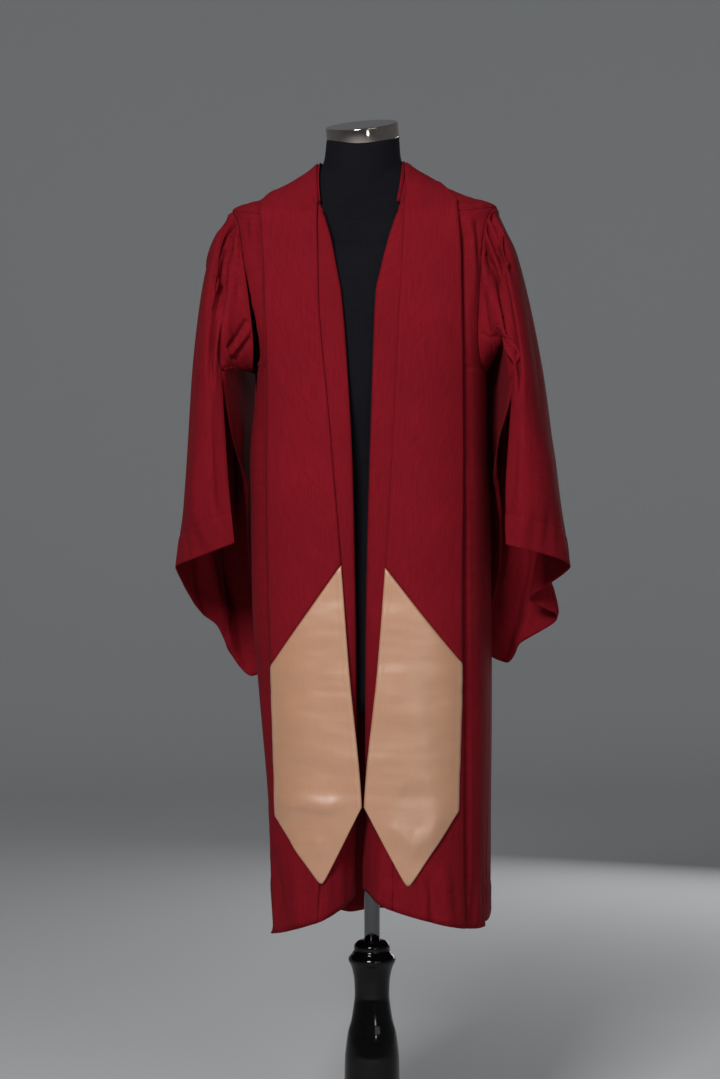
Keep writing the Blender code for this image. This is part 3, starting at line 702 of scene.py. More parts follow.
@dataclass(frozen=True)
class HardFinish:
    """Metal, paint or lacquer with slight wear in its gloss."""

    name: str
    colour: tuple[float, float, float]
    roughness: float
    metallic: float = 0.0
    coat: float = 0.0
    specular: float = 0.5
    wear: float = 0.04
    scale: float = 60.0
    bump: float = 0.02

    def build(self) -> bpy.types.Material:
        """Makes the material."""
        made = bpy.data.materials.new(self.name)
        made.use_nodes = True
        nodes, links = made.node_tree.nodes, made.node_tree.links
        shader = shader_of(made)
        shader.inputs["Base Color"].default_value = (*self.colour, 1)
        shader.inputs["Metallic"].default_value = self.metallic
        shader.inputs["Coat Weight"].default_value = self.coat
        shader.inputs["Specular IOR Level"].default_value = self.specular
        shader.inputs["Coat Roughness"].default_value = 0.06
        place = nodes.new("ShaderNodeTexCoord")
        noise = nodes.new("ShaderNodeTexNoise")
        noise.inputs["Scale"].default_value = self.scale
        noise.inputs["Detail"].default_value = 4.0
        links.new(place.outputs["Object"], noise.inputs["Vector"])
        gloss = nodes.new("ShaderNodeMapRange")
        gloss.inputs["From Min"].default_value = 0.3
        gloss.inputs["From Max"].default_value = 0.7
        gloss.inputs["To Min"].default_value = max(self.roughness - self.wear, 0.02)
        gloss.inputs["To Max"].default_value = self.roughness + self.wear
        links.new(noise.outputs["Fac"], gloss.inputs["Value"])
        links.new(gloss.outputs["Result"], shader.inputs["Roughness"])
        bump = nodes.new("ShaderNodeBump")
        bump.inputs["Strength"].default_value = self.bump
        bump.inputs["Distance"].default_value = 0.0005
        links.new(noise.outputs["Fac"], bump.inputs["Height"])
        links.new(bump.outputs["Normal"], shader.inputs["Normal"])
        return made


MAROON = (0.150, 0.0046, 0.0094)
GOWN_CLOTH = ClothFinish("gown_cloth", MAROON, ripple=0.0012)
STOLE_CLOTH = ClothFinish("stole_cloth", (0.154, 0.0048, 0.0098))
THREAD = ClothFinish("maroon_thread", (0.120, 0.0040, 0.0070), roughness=0.6, mottle=0.05)
GOLD_SATIN = ClothFinish("gold_satin", (0.42, 0.215, 0.122), roughness=0.38, sheen=0.12,
                         sheen_tint=(1.0, 0.85, 0.7), thread=0.0005, bump=0.12,
                         mottle=0.035, specular=1.0, ripple=0.007)
JERSEY = ClothFinish("form_jersey", (0.0050, 0.0046, 0.0068), roughness=0.9, sheen=0.01,
                     sheen_tint=(0.6, 0.6, 0.8), thread=0.0009, mottle=0.15, specular=0.08)
CHROME = HardFinish("cap_chrome", (0.42, 0.36, 0.33), 0.07, metallic=1.0, wear=0.02)
POLE_STEEL = HardFinish("pole_steel", (0.13, 0.13, 0.133), 0.14, metallic=1.0, wear=0.04)
LACQUER = HardFinish("post_lacquer", (0.0018, 0.0014, 0.0016), 0.09, specular=0.24,
                     wear=0.02)
BASE_PAINT = HardFinish("base_paint", (0.004, 0.0035, 0.0035), 0.30, specular=0.25, wear=0.06)


# The gown's body

def spread(a: float, b: float, count: int) -> np.ndarray:
    """Evenly spaced values from a to b."""
    return np.linspace(a, b, count)


EDGE_COLUMNS = ("z", "right", "left", "curl", "lift")
EDGES = (
    (1.500, -0.0720, 0.0440, 0.000, 0.000),
    (1.450, -0.0680, 0.0470, 0.000, 0.000),
    (1.388, -0.0506, 0.0328, 0.000, 0.000),
    (1.345, -0.0413, 0.0235, 0.000, 0.000),
    (1.307, -0.0335, 0.0168, 0.000, 0.000),
    (1.182, -0.0222, 0.0135, 0.000, 0.000),
    (1.046, -0.0150, 0.0090, 0.003, 0.000),
    (0.920, -0.0120, 0.0050, 0.008, 0.000),
    (0.780, -0.0100, 0.0020, 0.015, 0.000),
    (0.600, -0.0105, -0.0010, 0.035, 0.002),
    (0.380, -0.0170, -0.0080, 0.075, 0.018),
)
EDGE = table(EDGE_COLUMNS, EDGES, "z")
FLUTE_DEPTHS = ((4.0, 0.0), (4.35, 0.0035), (5.5, 0.007), (7.0, 0.009),
                (9.0, 0.012), (11.0, 0.015), (13.0, 0.019))


YOKE_FOLDS = (
    Fold(((263, 198), (258, 206), (255, 214)), -0.0020, 4, 2, 0.3, 0.0),
    Fold(((252, 203), (246, 209), (244, 215)), -0.0014, 3, 2, 0.3, 0.0),
    Fold(((470, 198), (476, 206), (479, 214)), -0.0018, 3, 4, 0.3, 0.0),
    Fold(((484, 203), (488, 208), (490, 214)), -0.0014, 3, 3, 0.3, 0.0),
)
FRONT_FOLDS = {
    Side.RIGHT: (
        Fold(((259, 214), (259, 231), (258, 271), (258, 300), (259, 420), (262, 560),
              (265, 700), (266, 840), (268, 930)), -0.0120, 8, 3, 0.04, 0.0),
        Fold(((252, 214), (254, 245), (255, 290), (257, 360)), 0.0035, 4, 4, 0.1, 0.5),
        Fold(((247, 217), (249, 250), (252, 300)), -0.0025, 3, 3, 0.1, 0.6),
        Fold(((268, 840), (276, 872), (282, 905), (284, 925)), -0.0045, 8, 5, 0.3, 0.0),
        Fold(((290, 850), (296, 880), (300, 920)), 0.0035, 8, 8, 0.3, 0.0),
    ),
    Side.LEFT: (
        Fold(((458, 212), (462.4, 236), (461.2, 259.5), (461, 295), (463, 400), (465, 560),
              (468, 700), (468, 850), (470, 930)), -0.0095, 3, 6, 0.04, 0.0),
        Fold(((467, 214), (472, 240), (474, 270), (473, 320)), 0.0040, 4, 4, 0.1, 0.5),
        Fold(((476, 219), (478, 245), (478, 275)), -0.0025, 3, 3, 0.1, 0.5),
        Fold(((467, 330), (468, 450), (470, 560), (472, 700), (473, 900)),
             0.0022, 3, 2, 0.2, 0.0),
        Fold(((428, 872), (432, 892), (433, 925)), -0.0050, 5, 3, 0.2, 0.0),
        Fold(((440, 862), (446, 890), (450, 925)), 0.0035, 8, 6, 0.2, 0.0),
    ),
}
BAND_FOLDS = {
    Side.RIGHT: (
        Fold(((318, 884), (322, 900), (326, 918)), -0.0016, 5, 4, 0.1, 0.0),
        Fold(((337, 850), (340, 880), (342, 905)), 0.0020, 5, 5, 0.3, 0.0),
    ),
    Side.LEFT: (
        Fold(((398, 868), (396, 888), (394, 910)), -0.0018, 4, 5, 0.1, 0.0),
        Fold(((384, 846), (380, 872), (378, 900)), 0.0020, 5, 5, 0.3, 0.0),
    ),
}


@dataclass
class Gown:
    """The gown's body: yoke, neckband, gathered back, fronts and front bands."""

    wall: float = 0.0016
    band_widths: Rows = ((0.38, 0.051), (0.60, 0.046), (0.90, 0.038), (1.50, 0.038))
    band_gap: float = -0.010
    band_top: tuple[float, float] = (1.0, 1.9)
    shoulder_heights: tuple[float, float] = (1.45, 1.425)
    neckband_end: float = 1.22
    neckband_gap: float = 0.034
    neck_turn: float = 54.0
    turn_gap: float = 0.8
    ring_gap: float = 0.024
    side_gap: float = 0.004
    side_shift: dict[Side, float] = field(default_factory=lambda: {
        Side.RIGHT: 0.0, Side.LEFT: 14.0})
    flutes: int = 8
    flute_fade: float = 42.0
    hem_line: dict[Side, tuple[float, float]] = field(default_factory=lambda: {
        Side.RIGHT: (0.423, 0.36), Side.LEFT: (0.429, 0.32)})
    hem_depth: float = 0.050

    def edge_turn(self, side: Side, share: np.ndarray, ring: np.ndarray) -> np.ndarray:
        """The turn of a line across the band, whose free edge is share 0."""
        sign = side.value
        wide = Curve(*zip(*self.band_widths))
        low = sign * BODY.angle_at(
            ring, lambda z: EDGE[side.word](z) + sign * wide(z) * share)
        down = (ring - NECKLINE) / (YOKE_SEAM - NECKLINE)
        z = mix(*self.shoulder_heights, down)
        x = EDGE[side.word](z) + sign * wide(z) * share
        high = np.minimum(sign * BODY.angle_at(ring, lambda _: x), self.neck_turn)
        return np.where(ring >= YOKE_SEAM, low, high)

    def settle_hem(self, side: Side, ring: np.ndarray, angle: np.ndarray,
                   points: np.ndarray) -> np.ndarray:
        """Draws the lowest rows of a front piece to the hem's own slope."""
        share = np.clip((ring - HEM + 2) / 2, 0, 1)
        level, slope = self.hem_line[side]
        foot = BODY.point(np.full_like(angle, HEM), angle)
        wanted = level - slope * np.abs(foot[..., 0] - BODY.ring["centre"](HEM))
        points = points.copy()
        points[..., 2] += (wanted - foot[..., 2]) * share ** 2
        return points

    def side_turn(self, side: Side, ring: np.ndarray) -> np.ndarray:
        """Where the side seam lies at these rings."""
        down = np.clip((ring - ARMPIT) / (HEM - ARMPIT), 0, 1)
        return 90 - self.side_shift[side] * down ** 2

    def strip(self, name: str, side: Side, rings: np.ndarray, near: np.ndarray,
              far: np.ndarray, columns: int) -> Cloth:
        """Cloth between two turns of each ring."""
        share = spread(0, 1, columns)[None, :]
        angle = side.value * mix(near[:, None], far[:, None], share)
        ring = np.broadcast_to(rings[:, None], angle.shape)
        points = self.settle_hem(side, ring, angle, BODY.point(ring, angle))
        return Cloth(name, points if side is Side.LEFT else points[:, ::-1])

    def rings(self, count: int) -> np.ndarray:
        """Rings of the panels under the yoke, closer together at their top."""
        top = YOKE_SEAM + self.ring_gap
        high = spread(0, 1, count // 3)
        low = spread(ARMPIT, HEM, count - count // 3 + 1)[1:]
        return np.concatenate([top + (ARMPIT - top) * high ** 1.15, low])

    def band(self, side: Side, fine: int) -> Cloth:
        """The band along one front's edge."""
        share = spread(0, 1, 14 * fine)[None, :]
        over = spread(0, 1, 16 * fine)[:, None]
        above = mix(mix(*self.band_top, share), YOKE_SEAM, over)
        below = np.broadcast_to(self.rings(150 * fine)[:, None],
                                (150 * fine, share.shape[1]))
        ring = np.concatenate([above, below])
        share = np.broadcast_to(share, ring.shape)
        turn = self.edge_turn(side, (1 - self.band_gap) * share, ring)
        angle = side.value * turn
        points = self.settle_hem(side, ring, angle, BODY.point(ring, angle))
        back = (1 - share) ** 2
        points[..., 1] += EDGE["curl"](points[..., 2]) * back
        points[..., 2] += EDGE["lift"](points[..., 2]) * back
        return Cloth(f"band_{side.word}", points if side is Side.LEFT else points[:, ::-1])

    def front(self, side: Side, fine: int) -> Cloth:
        """One front panel, from its band's seam to the side seam."""
        rings = self.rings(150 * fine)
        far = self.side_turn(side, rings) - ARMHOLE.edge(rings) - self.side_gap
        near = self.edge_turn(side, np.ones_like(rings), rings)
        return self.strip(f"front_{side.word}", side, rings, near, far, 110 * fine)

    def round_the_back(self, name: str, rings: np.ndarray, right: np.ndarray,
                       left: np.ndarray, columns: int) -> Cloth:
        """Cloth from one turn on the right, round the back, to one on the left."""
        share = spread(0, 1, columns)[None, :]
        turn = mix(right[:, None], (360 - left)[:, None], share)
        angle = np.where(turn < 180, -turn, 360 - turn)
        ring = np.broadcast_to(rings[:, None], angle.shape)
        return Cloth(name, BODY.point(ring, angle)[:, ::-1])

    def yoke(self, fine: int) -> Cloth:
        """The yoke over both shoulders."""
        rings = np.concatenate([
            spread(self.neckband_end + self.neckband_gap, self.band_top[1], 14 * fine)[:-1],
            spread(self.band_top[1], YOKE_SEAM, 42 * fine)])
        ends = []
        for side in Side:
            turn = self.edge_turn(side, np.ones_like(rings), rings)
            ends.append(np.where(turn < self.neck_turn, turn, self.neck_turn + self.turn_gap))
        return self.round_the_back("yoke", rings, *ends, 150 * fine)

    def neckband(self, fine: int) -> Cloth:
        """The narrow band round the back of the neck."""
        rings = spread(NECKLINE, self.neckband_end, 8 * fine)
        end = np.full_like(rings, self.neck_turn + self.turn_gap)
        return self.round_the_back("neckband", rings, end, end, 90 * fine)

    def back(self, fine: int) -> Cloth:
        """The gathered back."""
        rings = self.rings(150 * fine)
        ring = rings[:, None]
        room = ARMHOLE.edge(ring) + self.side_gap
        share = spread(0, 1, 220 * fine)[None, :]
        turn = mix(self.side_turn(Side.RIGHT, ring) + room,
                   360 - self.side_turn(Side.LEFT, ring) - room, share)
        ring = np.broadcast_to(ring, turn.shape)
        calm = 90 + ARMHOLE.turn * np.clip((ARMPIT + 1.5 - ring) / 3, 0, 1)
        near = np.minimum(turn - calm, 360 - calm - turn) / self.flute_fade
        wave = np.cos(np.pi * self.flutes * (turn - 90) / 90) * np.clip(near, 0, 1) ** 1.5
        flute = Curve(*zip(*FLUTE_DEPTHS))
        angle = np.where(turn < 180, -turn, 360 - turn)
        points = BODY.lifted(ring, angle, flute(ring) * wave)
        cloth = Cloth("back", points[:, ::-1])
        turn, ring, near = turn[:, ::-1], ring[:, ::-1], near[:, ::-1]
        drift = 2.2 * np.sin(turn / 17) + 1.4 * np.sin(turn / 7.3 + ring)
        small = np.cos(np.pi * 26 * (turn - 90 + drift) / 90)
        top = np.exp(-(ring - YOKE_SEAM) / 0.55) * ramp(near, 0.0, 0.35)
        low = ramp(ring, 6.0, 9.0) * np.sin(np.pi * 11 * (turn + drift) / 90)
        cloth.press(0.0019 * small * top * ramp(ring, YOKE_SEAM, YOKE_SEAM + 0.15)
                    + 0.0016 * low * ramp(near, 0.0, 0.5))
        return cloth

    def finish_yoke(self, cloth: Cloth) -> None:
        """The yoke's seams and its soft pleats over the shoulders."""
        cloth.tuck(Edge.BOTTOM, 0.0012)
        cloth.tuck(Edge.TOP, 0.0006)
        cloth.pucker(Edge.BOTTOM, 0.0004, 0.006, 0.011)
        cloth.fold(YOKE_FOLDS)

    def finish_back(self, cloth: Cloth) -> None:
        """The back's seams and hem."""
        cloth.tuck(Edge.TOP, 0.0014)
        cloth.hem(Edge.BOTTOM, self.hem_depth)
        for edge in (Edge.START, Edge.END):
            cloth.tuck(edge, 0.0008)
            cloth.pucker(edge, 0.0005, 0.010, 0.034)

    def finish_front(self, cloth: Cloth, side: Side) -> None:
        """One front's seams, hem and creases."""
        inner, outer = ((Edge.START, Edge.END) if side is Side.LEFT
                        else (Edge.END, Edge.START))
        cloth.tuck(Edge.TOP, 0.0014)
        cloth.tuck(inner, 0.0012)
        cloth.tuck(outer, 0.0008)
        cloth.pucker(Edge.TOP, 0.0007, 0.012, 0.016)
        cloth.pucker(inner, 0.0004, 0.008, 0.026)
        cloth.pucker(outer, 0.0005, 0.010, 0.030)
        cloth.hem(Edge.BOTTOM, self.hem_depth)
        cloth.fold(FRONT_FOLDS[side] + BAND_FOLDS[side])

    def finish_band(self, cloth: Cloth, side: Side) -> None:
        """One band's seam, its rolled free edge and its hem."""
        free, sewn = ((Edge.START, Edge.END) if side is Side.LEFT
                      else (Edge.END, Edge.START))
        cloth.tuck(sewn, 0.0010)
        cloth.tuck(free, 0.0016, 0.0030)
        cloth.pucker(sewn, 0.0004, 0.010, 0.024)
        cloth.hem(Edge.BOTTOM, self.hem_depth)
        cloth.fold(FRONT_FOLDS[side] + BAND_FOLDS[side])

    def dress(self, fine: int, look: bpy.types.Material) -> dict[str, Cloth]:
        """Builds every piece of the body.

        Args:
            look: the cloth's material.

        Returns:
            The pieces' grids, by name.
        """
        yoke, neckband, back = self.yoke(fine), self.neckband(fine), self.back(fine)
        self.finish_yoke(yoke)
        self.finish_back(back)
        neckband.tuck(Edge.BOTTOM, 0.0007)
        pieces = [yoke, neckband, back]
        for side in Side:
            front, band = self.front(side, fine), self.band(side, fine)
            self.finish_front(front, side)
            self.finish_band(band, side)
            pieces += [front, band]
        for cloth in pieces:
            wide, long, area = cloth.size()
            made = cloth.build(self.wall, look, "maroon_cloth")
        return {cloth.name: cloth for cloth in pieces}


# Sleeves

SLEEVE_COLUMNS = ("u", "seam_angle", "head_out", "head_back", "head_up",
                  "mid_out", "mid_back", "mid_up", "low_out", "low_back", "low_up",
                  "hem_out", "hem_back", "hem_up")
SLEEVES = {
    Side.RIGHT: (
        (0.00, 0, 0.196, -0.052, 1.203, 0.2120, -0.092, 1.197, 0.2010, -0.098, 1.030,
         0.1926, -0.100, 0.9449),
        (0.10, 42, 0.203, -0.082, 1.275, 0.2250, -0.108, 1.190, 0.2230, -0.112, 1.025,
         0.2110, -0.105, 0.9375),
        (0.22, 95, 0.214, -0.082, 1.345, 0.2420, -0.095, 1.190, 0.2480, -0.104, 1.018,
         0.2360, -0.092, 0.9285),
        (0.34, 140, 0.237, -0.050, 1.368, 0.2620, -0.055, 1.190, 0.2700, -0.068, 1.013,
         0.2640, -0.070, 0.9185),
        (0.44, 178, 0.2508, 0.000, 1.3575, 0.2718, -0.003, 1.188, 0.2790, -0.018, 1.010,
         0.2921, -0.028, 0.9057),
        (0.57, 222, 0.238, 0.062, 1.345, 0.2580, 0.058, 1.184, 0.2690, 0.050, 0.998,
         0.2786, 0.050, 0.8500),
        (0.66, 255, 0.218, 0.084, 1.330, 0.2350, 0.088, 1.180, 0.2450, 0.087, 0.985,
         0.2510, 0.090, 0.8160),
        (0.74, 285, 0.205, 0.090, 1.310, 0.2160, 0.100, 1.172, 0.2220, 0.104, 0.975,
         0.2400, 0.104, 0.7850),
        (0.81, 308, 0.197, 0.080, 1.280, 0.1990, 0.095, 1.172, 0.1980, 0.107, 0.965,
         0.1990, 0.110, 0.7372),
        (0.87, 325, 0.189, 0.062, 1.248, 0.1790, 0.086, 1.188, 0.1730, 0.114, 0.985,
         0.1730, 0.124, 0.7650),
        (0.94, 344, 0.191, 0.020, 1.218, 0.1900, 0.030, 1.190, 0.1930, 0.048, 1.040,
         0.1980, 0.064, 0.9300),
        (1.00, 360, 0.196, -0.052, 1.203, 0.2120, -0.092, 1.197, 0.2060, -0.050, 1.115,
         0.1895, 0.018, 1.0300),
    ),
    Side.LEFT: (
        (0.00, 0, 0.2005, -0.074, 1.240, 0.2119, -0.098, 1.1740, 0.2030, -0.096, 1.015,
         0.2045, -0.100, 0.9432),
        (0.10, 42, 0.188, -0.083, 1.268, 0.2235, -0.112, 1.1700, 0.2260, -0.112, 1.012,
         0.2230, -0.104, 0.9380),
        (0.22, 95, 0.195, -0.082, 1.345, 0.2370, -0.097, 1.1760, 0.2500, -0.102, 1.008,
         0.2450, -0.094, 0.9325),
        (0.34, 140, 0.210, -0.048, 1.372, 0.2510, -0.055, 1.1850, 0.2700, -0.066, 1.005,
         0.2710, -0.073, 0.9245),
        (0.44, 178, 0.2187, 0.000, 1.366, 0.2570, 0.000, 1.1880, 0.2798, -0.015, 1.006,
         0.2951, -0.028, 0.9098),
        (0.57, 222, 0.208, 0.060, 1.350, 0.2450, 0.056, 1.1840, 0.2620, 0.046, 0.996,
         0.2440, 0.040, 0.8600),
        (0.66, 255, 0.194, 0.084, 1.332, 0.2260, 0.086, 1.1800, 0.2500, 0.084, 0.980,
         0.2740, 0.074, 0.8290),
        (0.74, 285, 0.184, 0.090, 1.310, 0.2070, 0.100, 1.1720, 0.2230, 0.102, 0.970,
         0.2260, 0.097, 0.7940),
        (0.81, 308, 0.181, 0.080, 1.280, 0.1900, 0.095, 1.1720, 0.1930, 0.107, 0.965,
         0.1945, 0.110, 0.7601),
        (0.87, 325, 0.170, 0.062, 1.248, 0.1560, 0.086, 1.1880, 0.1540, 0.114, 0.985,
         0.1640, 0.122, 0.7850),
        (0.94, 344, 0.188, 0.010, 1.232, 0.1830, 0.030, 1.1900, 0.1860, 0.046, 1.040,
         0.1920, 0.062, 0.9400),
        (1.00, 360, 0.2005, -0.074, 1.240, 0.2119, -0.098, 1.1740, 0.1905, -0.045, 1.095,
         0.1810, 0.016, 1.0400),
    ),
}
# Where round the loop each trough starts and ends, the levels that it runs
# between, its depth and its half width round the loop.
SLEEVE_FOLDS = {
    Side.RIGHT: ((0.30, 0.075, 0.02, 0.50, 0.0140, 0.040),
                 (0.235, 0.150, 0.02, 0.30, 0.0080, 0.030),
                 (0.385, 0.300, 0.05, 0.75, 0.0045, 0.040),
                 (0.56, 0.60, 0.05, 1.20, 0.0060, 0.040),
                 (0.70, 0.70, 0.10, 1.20, 0.0060, 0.035)),
    Side.LEFT: ((0.30, 0.075, 0.02, 0.50, 0.0140, 0.040),
                (0.235, 0.140, 0.02, 0.36, 0.0080, 0.030),
                (0.385, 0.310, 0.05, 0.55, 0.0045, 0.040),
                (0.56, 0.60, 0.05, 1.20, 0.0060, 0.040),
                (0.70, 0.70, 0.10, 1.20, 0.0060, 0.035)),
}


SLEEVE_CREASES = {
    Side.RIGHT: (
        Fold(((240, 216), (229.3, 235.4), (225.8, 259), (222.2, 285), (221, 316),
              (221.5, 372)), -0.0140, 2.4, 4, 0.02, 0.15),
        Fold(((235.2, 215), (226.9, 233), (219.9, 266), (216.3, 300)),
             -0.0120, 2.2, 3.0, 0.02, 0.4),
        Fold(((228, 215), (222.2, 230.7), (215, 259), (209, 300), (206, 336)),
             -0.0090, 2.2, 3.4, 0.05, 0.5),
        Fold(((232, 214), (224, 235), (220, 255)), 0.0030, 2.2, 2.2, 0.05, 0.5),
        Fold(((238, 218), (229, 240), (224.5, 270), (219, 320)), 0.0035, 2.2, 2.2, 0.05, 0.5),
        Fold(((239, 222), (236, 245), (234, 275)), 0.0030, 3.5, 3, 0.05, 0.5),
        Fold(((243, 240), (240, 270), (236, 310)), -0.0030, 3, 3, 0.2, 0.4),
        Fold(((213, 360), (214, 420), (218, 480), (222, 540)), -0.0035, 5, 8, 0.3, 0.3),
        Fold(((196, 470), (192, 520), (188, 560)), 0.0030, 8, 8, 0.3, 0.0),
        Fold(((248, 318), (238, 336), (227, 350)), -0.0045, 3, 4, 0.1, 0.1),
        Fold(((252, 336), (242, 348), (231, 360)), -0.0040, 2.5, 3.5, 0.1, 0.1),
        Fold(((250, 328), (240, 343), (229, 356)), 0.0030, 2.5, 2.5, 0.1, 0.1),
    ),
    Side.LEFT: (
        Fold(((475.4, 216), (476.6, 226.4), (488.4, 254.7), (499, 280.7), (507.3, 314),
              (510.5, 350), (511, 380)), -0.0140, 4, 2.4, 0.02, 0.15),
        Fold(((483.7, 214), (487.2, 224), (496.6, 247.7), (502.5, 264.2), (505, 285)),
             -0.0110, 3.0, 2.2, 0.02, 0.35),
        Fold(((488.4, 206.5), (496.6, 221.7), (505, 243), (512, 266.5), (519, 288)),
             -0.0100, 3.4, 2.2, 0.02, 0.4),
        Fold(((494.3, 206.5), (503.7, 224), (508, 234), (516, 258)), -0.0045, 2.6, 2.2, 0.02, 0.5),
        Fold(((479.5, 214), (483, 226), (493, 252), (500, 272)), 0.0032, 2.2, 2.2, 0.05, 0.5),
        Fold(((477, 235), (482, 262), (489, 290), (498, 322)), 0.0030, 4, 3, 0.1, 0.4),
        Fold(((484, 290), (486, 315), (490, 338)), -0.0035, 3, 3, 0.3, 0.2),
        Fold(((481, 332), (490, 338), (499, 336)), -0.0020, 2.5, 3, 0.1, 0.1),
        Fold(((516, 380), (518, 430), (514, 480), (508, 530)), -0.0035, 6, 5, 0.3, 0.3),
        Fold(((545, 430), (552, 490), (558, 550)), 0.0030, 8, 8, 0.3, 0.0),
    ),
}


# Folds of the sleeve's far side, which the open front shows from within.
LINING_CREASES = {
    Side.RIGHT: (
        Fold(((200, 500), (206, 560), (218, 600), (230, 645)), -0.0090, 5, 8, 0.3, 0.0),
        Fold(((192, 540), (200, 580), (208, 615)), 0.0060, 5, 6, 0.3, 0.0),
        Fold(((222, 520), (228, 570), (238, 620), (246, 665)), 0.0080, 5, 7, 0.3, 0.0),
        Fold(((240, 400), (238, 460), (240, 520)), 0.0060, 5, 5, 0.3, 0.3),
        Fold(((229, 400), (232, 480), (234, 540)), -0.0050, 4, 4, 0.3, 0.3),
    ),
    Side.LEFT: (
        Fold(((548, 520), (545, 560), (536, 600), (520, 645)), -0.0090, 8, 5, 0.3, 0.0),
        Fold(((560, 545), (556, 580), (553, 612)), 0.0060, 6, 5, 0.3, 0.0),
        Fold(((528, 520), (524, 570), (514, 620), (503, 660)), 0.0080, 7, 5, 0.3, 0.0),
        Fold(((496, 400), (495, 450), (497, 520)), 0.0050, 5, 5, 0.3, 0.3),
        Fold(((504, 400), (500, 470), (499, 540)), -0.0050, 4, 4, 0.3, 0.3),
    ),
}


@dataclass
class Sleeves:
    """The long bell sleeves, each slit in front from the forearm seam down."""

    wall: float = 0.0016
    levels: tuple[float, ...] = (0.0, 0.20, 0.42, 0.70, 1.0)
    slit: float = 0.42
    seat_lift: float = 0.0004
    middle: float = 0.225
    puff: dict[Side, float] = field(default_factory=lambda: {
        Side.RIGHT: 0.0065, Side.LEFT: 0.001})
    gathers: int = 15
    facing: float = 0.045

    def surface(self, side: Side, u: np.ndarray, v: np.ndarray) -> np.ndarray:
        """Points of the sleeve, u round the loop and v from the armhole to the hem."""
        size = table(SLEEVE_COLUMNS, SLEEVES[side], "u")
        line = u[0]
        seat = HEAD_SEAM.at(side, size["seam_angle"](line))
        knots = [BODY.lifted(*seat, np.full_like(line, self.seat_lift))]
        for level in ("head", "mid", "low", "hem"):
            knots.append(np.stack([side.value * size[level + "_out"](line),
                                   size[level + "_back"](line), size[level + "_up"](line)], -1))
        points = np.empty(u.shape + (3,))
        for c in range(len(line)):
            for k in range(3):
                points[:, c, k] = Curve(self.levels, [p[c, k] for p in knots])(v[:, 0])
        top = bell(u - 0.44, 0.16)
        points[..., 0] += (side.value * self.puff[side] * top
                           * np.sin(np.pi * np.minimum(v / 0.2, 1)) ** 0.6)
        return points

    def troughs(self, side: Side, u: np.ndarray, v: np.ndarray) -> np.ndarray:
        """How far the main folds press the cloth in."""
        total = np.zeros_like(u)
        for u_top, u_bottom, start, end, depth, width in SLEEVE_FOLDS[side]:
            share = (v - start) / (end - start)
            line = mix(u_top, u_bottom, share)
            ends = np.clip(np.minimum(share / 0.15, (1 - share) / 0.3), 0, 1)
            total += depth * ends * bell(u - line, width)
        return total

    def sleeve(self, side: Side, fine: int) -> Cloth:
        """One sleeve."""
        tube, open_part = 75 * fine, 60 * fine
        v = np.concatenate([spread(0, self.slit, tube), spread(self.slit, 1, open_part)[1:]])
        u = Curve((0, 0.72, 1), (0, 0.5, 1))(spread(0, 1, 300 * fine))
        u, v = np.meshgrid(u, v)
        points = self.surface(side, u, v)
        inside = np.zeros_like(points)
        inside[..., 0] = side.value * self.middle - points[..., 0]
        inside[..., 1] = -points[..., 1]
        inside /= np.maximum(np.linalg.norm(inside, axis=-1, keepdims=True), 1e-9)
        points = points + inside * self.troughs(side, u, v)[..., None]
        if side is Side.RIGHT:
            points, u, v = points[:, ::-1], u[:, ::-1], v[:, ::-1]
        cloth = Cloth(f"sleeve_{side.word}", points, joined=tube)
        self.gather(cloth, side, u, v)
        self.finish(cloth, side, u, v)
        return cloth

    def gather(self, cloth: Cloth, side: Side, u: np.ndarray, v: np.ndarray) -> None:
        """Presses in the gathers at the sleeve's head, and the longer folds."""
        head = bell(u - 0.42, 0.17)
        drift = 0.02 * np.sin(23 * u) + 0.012 * np.sin(51 * u + 9 * v)
        wave = np.cos(2 * np.pi * self.gathers * 1.9 * (u + drift))
        fade = ramp(v, 0.0, 0.02) * np.exp(-v / 0.09)
        out = cloth.normals()
        facing = (ramp(out @ VIEW.axes()[1], -0.15, 0.15) * (u < 0.56)
                  * ramp(v, 0.0, 0.025))
        relief = 0.0022 * wave * head * fade * (1 - 0.5 * facing)
        behind = bell(u - 0.62, 0.15) * ramp(u, 0.44, 0.52)
        long_wave = np.cos(2 * np.pi * 9 * (u + 0.5 * drift + 0.02 * np.sin(5 * v)))
        relief += 0.0045 * long_wave * behind * ramp(v, 0.0, 0.05) * np.exp(-v / 0.45)
        cloth.fold(SLEEVE_CREASES[side], out, facing)
        inside = ramp(u, 0.50, 0.58) * ramp(1.0 - u, 0.0, 0.04)
        cloth.fold(LINING_CREASES[side], out, inside * ramp(v, 0.30, 0.50))
        cloth.press(relief, out)

    def finish(self, cloth: Cloth, side: Side, u: np.ndarray, v: np.ndarray) -> None:
        """The seam under the arm, the facings of the slit and the hem."""
        free, inner = ((Edge.START, Edge.END) if side is Side.LEFT
                       else (Edge.END, Edge.START))
        slit = ramp(v, self.slit, self.slit + 0.04)
        for edge in (free, inner):
            cloth.press(-0.0012 * slit * bell(cloth.from_edge(edge), 0.0025))
        cloth.hem(Edge.BOTTOM, self.facing, 0.0008)
        low = 1 - slit
        for edge in (free, inner):
            cloth.press(-0.0022 * low * bell(cloth.from_edge(edge), 0.0025)
                        * ramp(v, 0.0, 0.05))
            cloth.pucker(edge, 0.0013, 0.018, 0.012, low * ramp(v, 0.01, 0.08))

    def dress(self, fine: int, look: bpy.types.Material) -> dict[str, Cloth]:
        """Builds both sleeves."""
        made = {}
        for side in Side:
            cloth = self.sleeve(side, fine)
            wide, long, area = cloth.size()
            piece = cloth.build(self.wall, look, "maroon_cloth")
            made[cloth.name] = cloth
        return made


# Stole

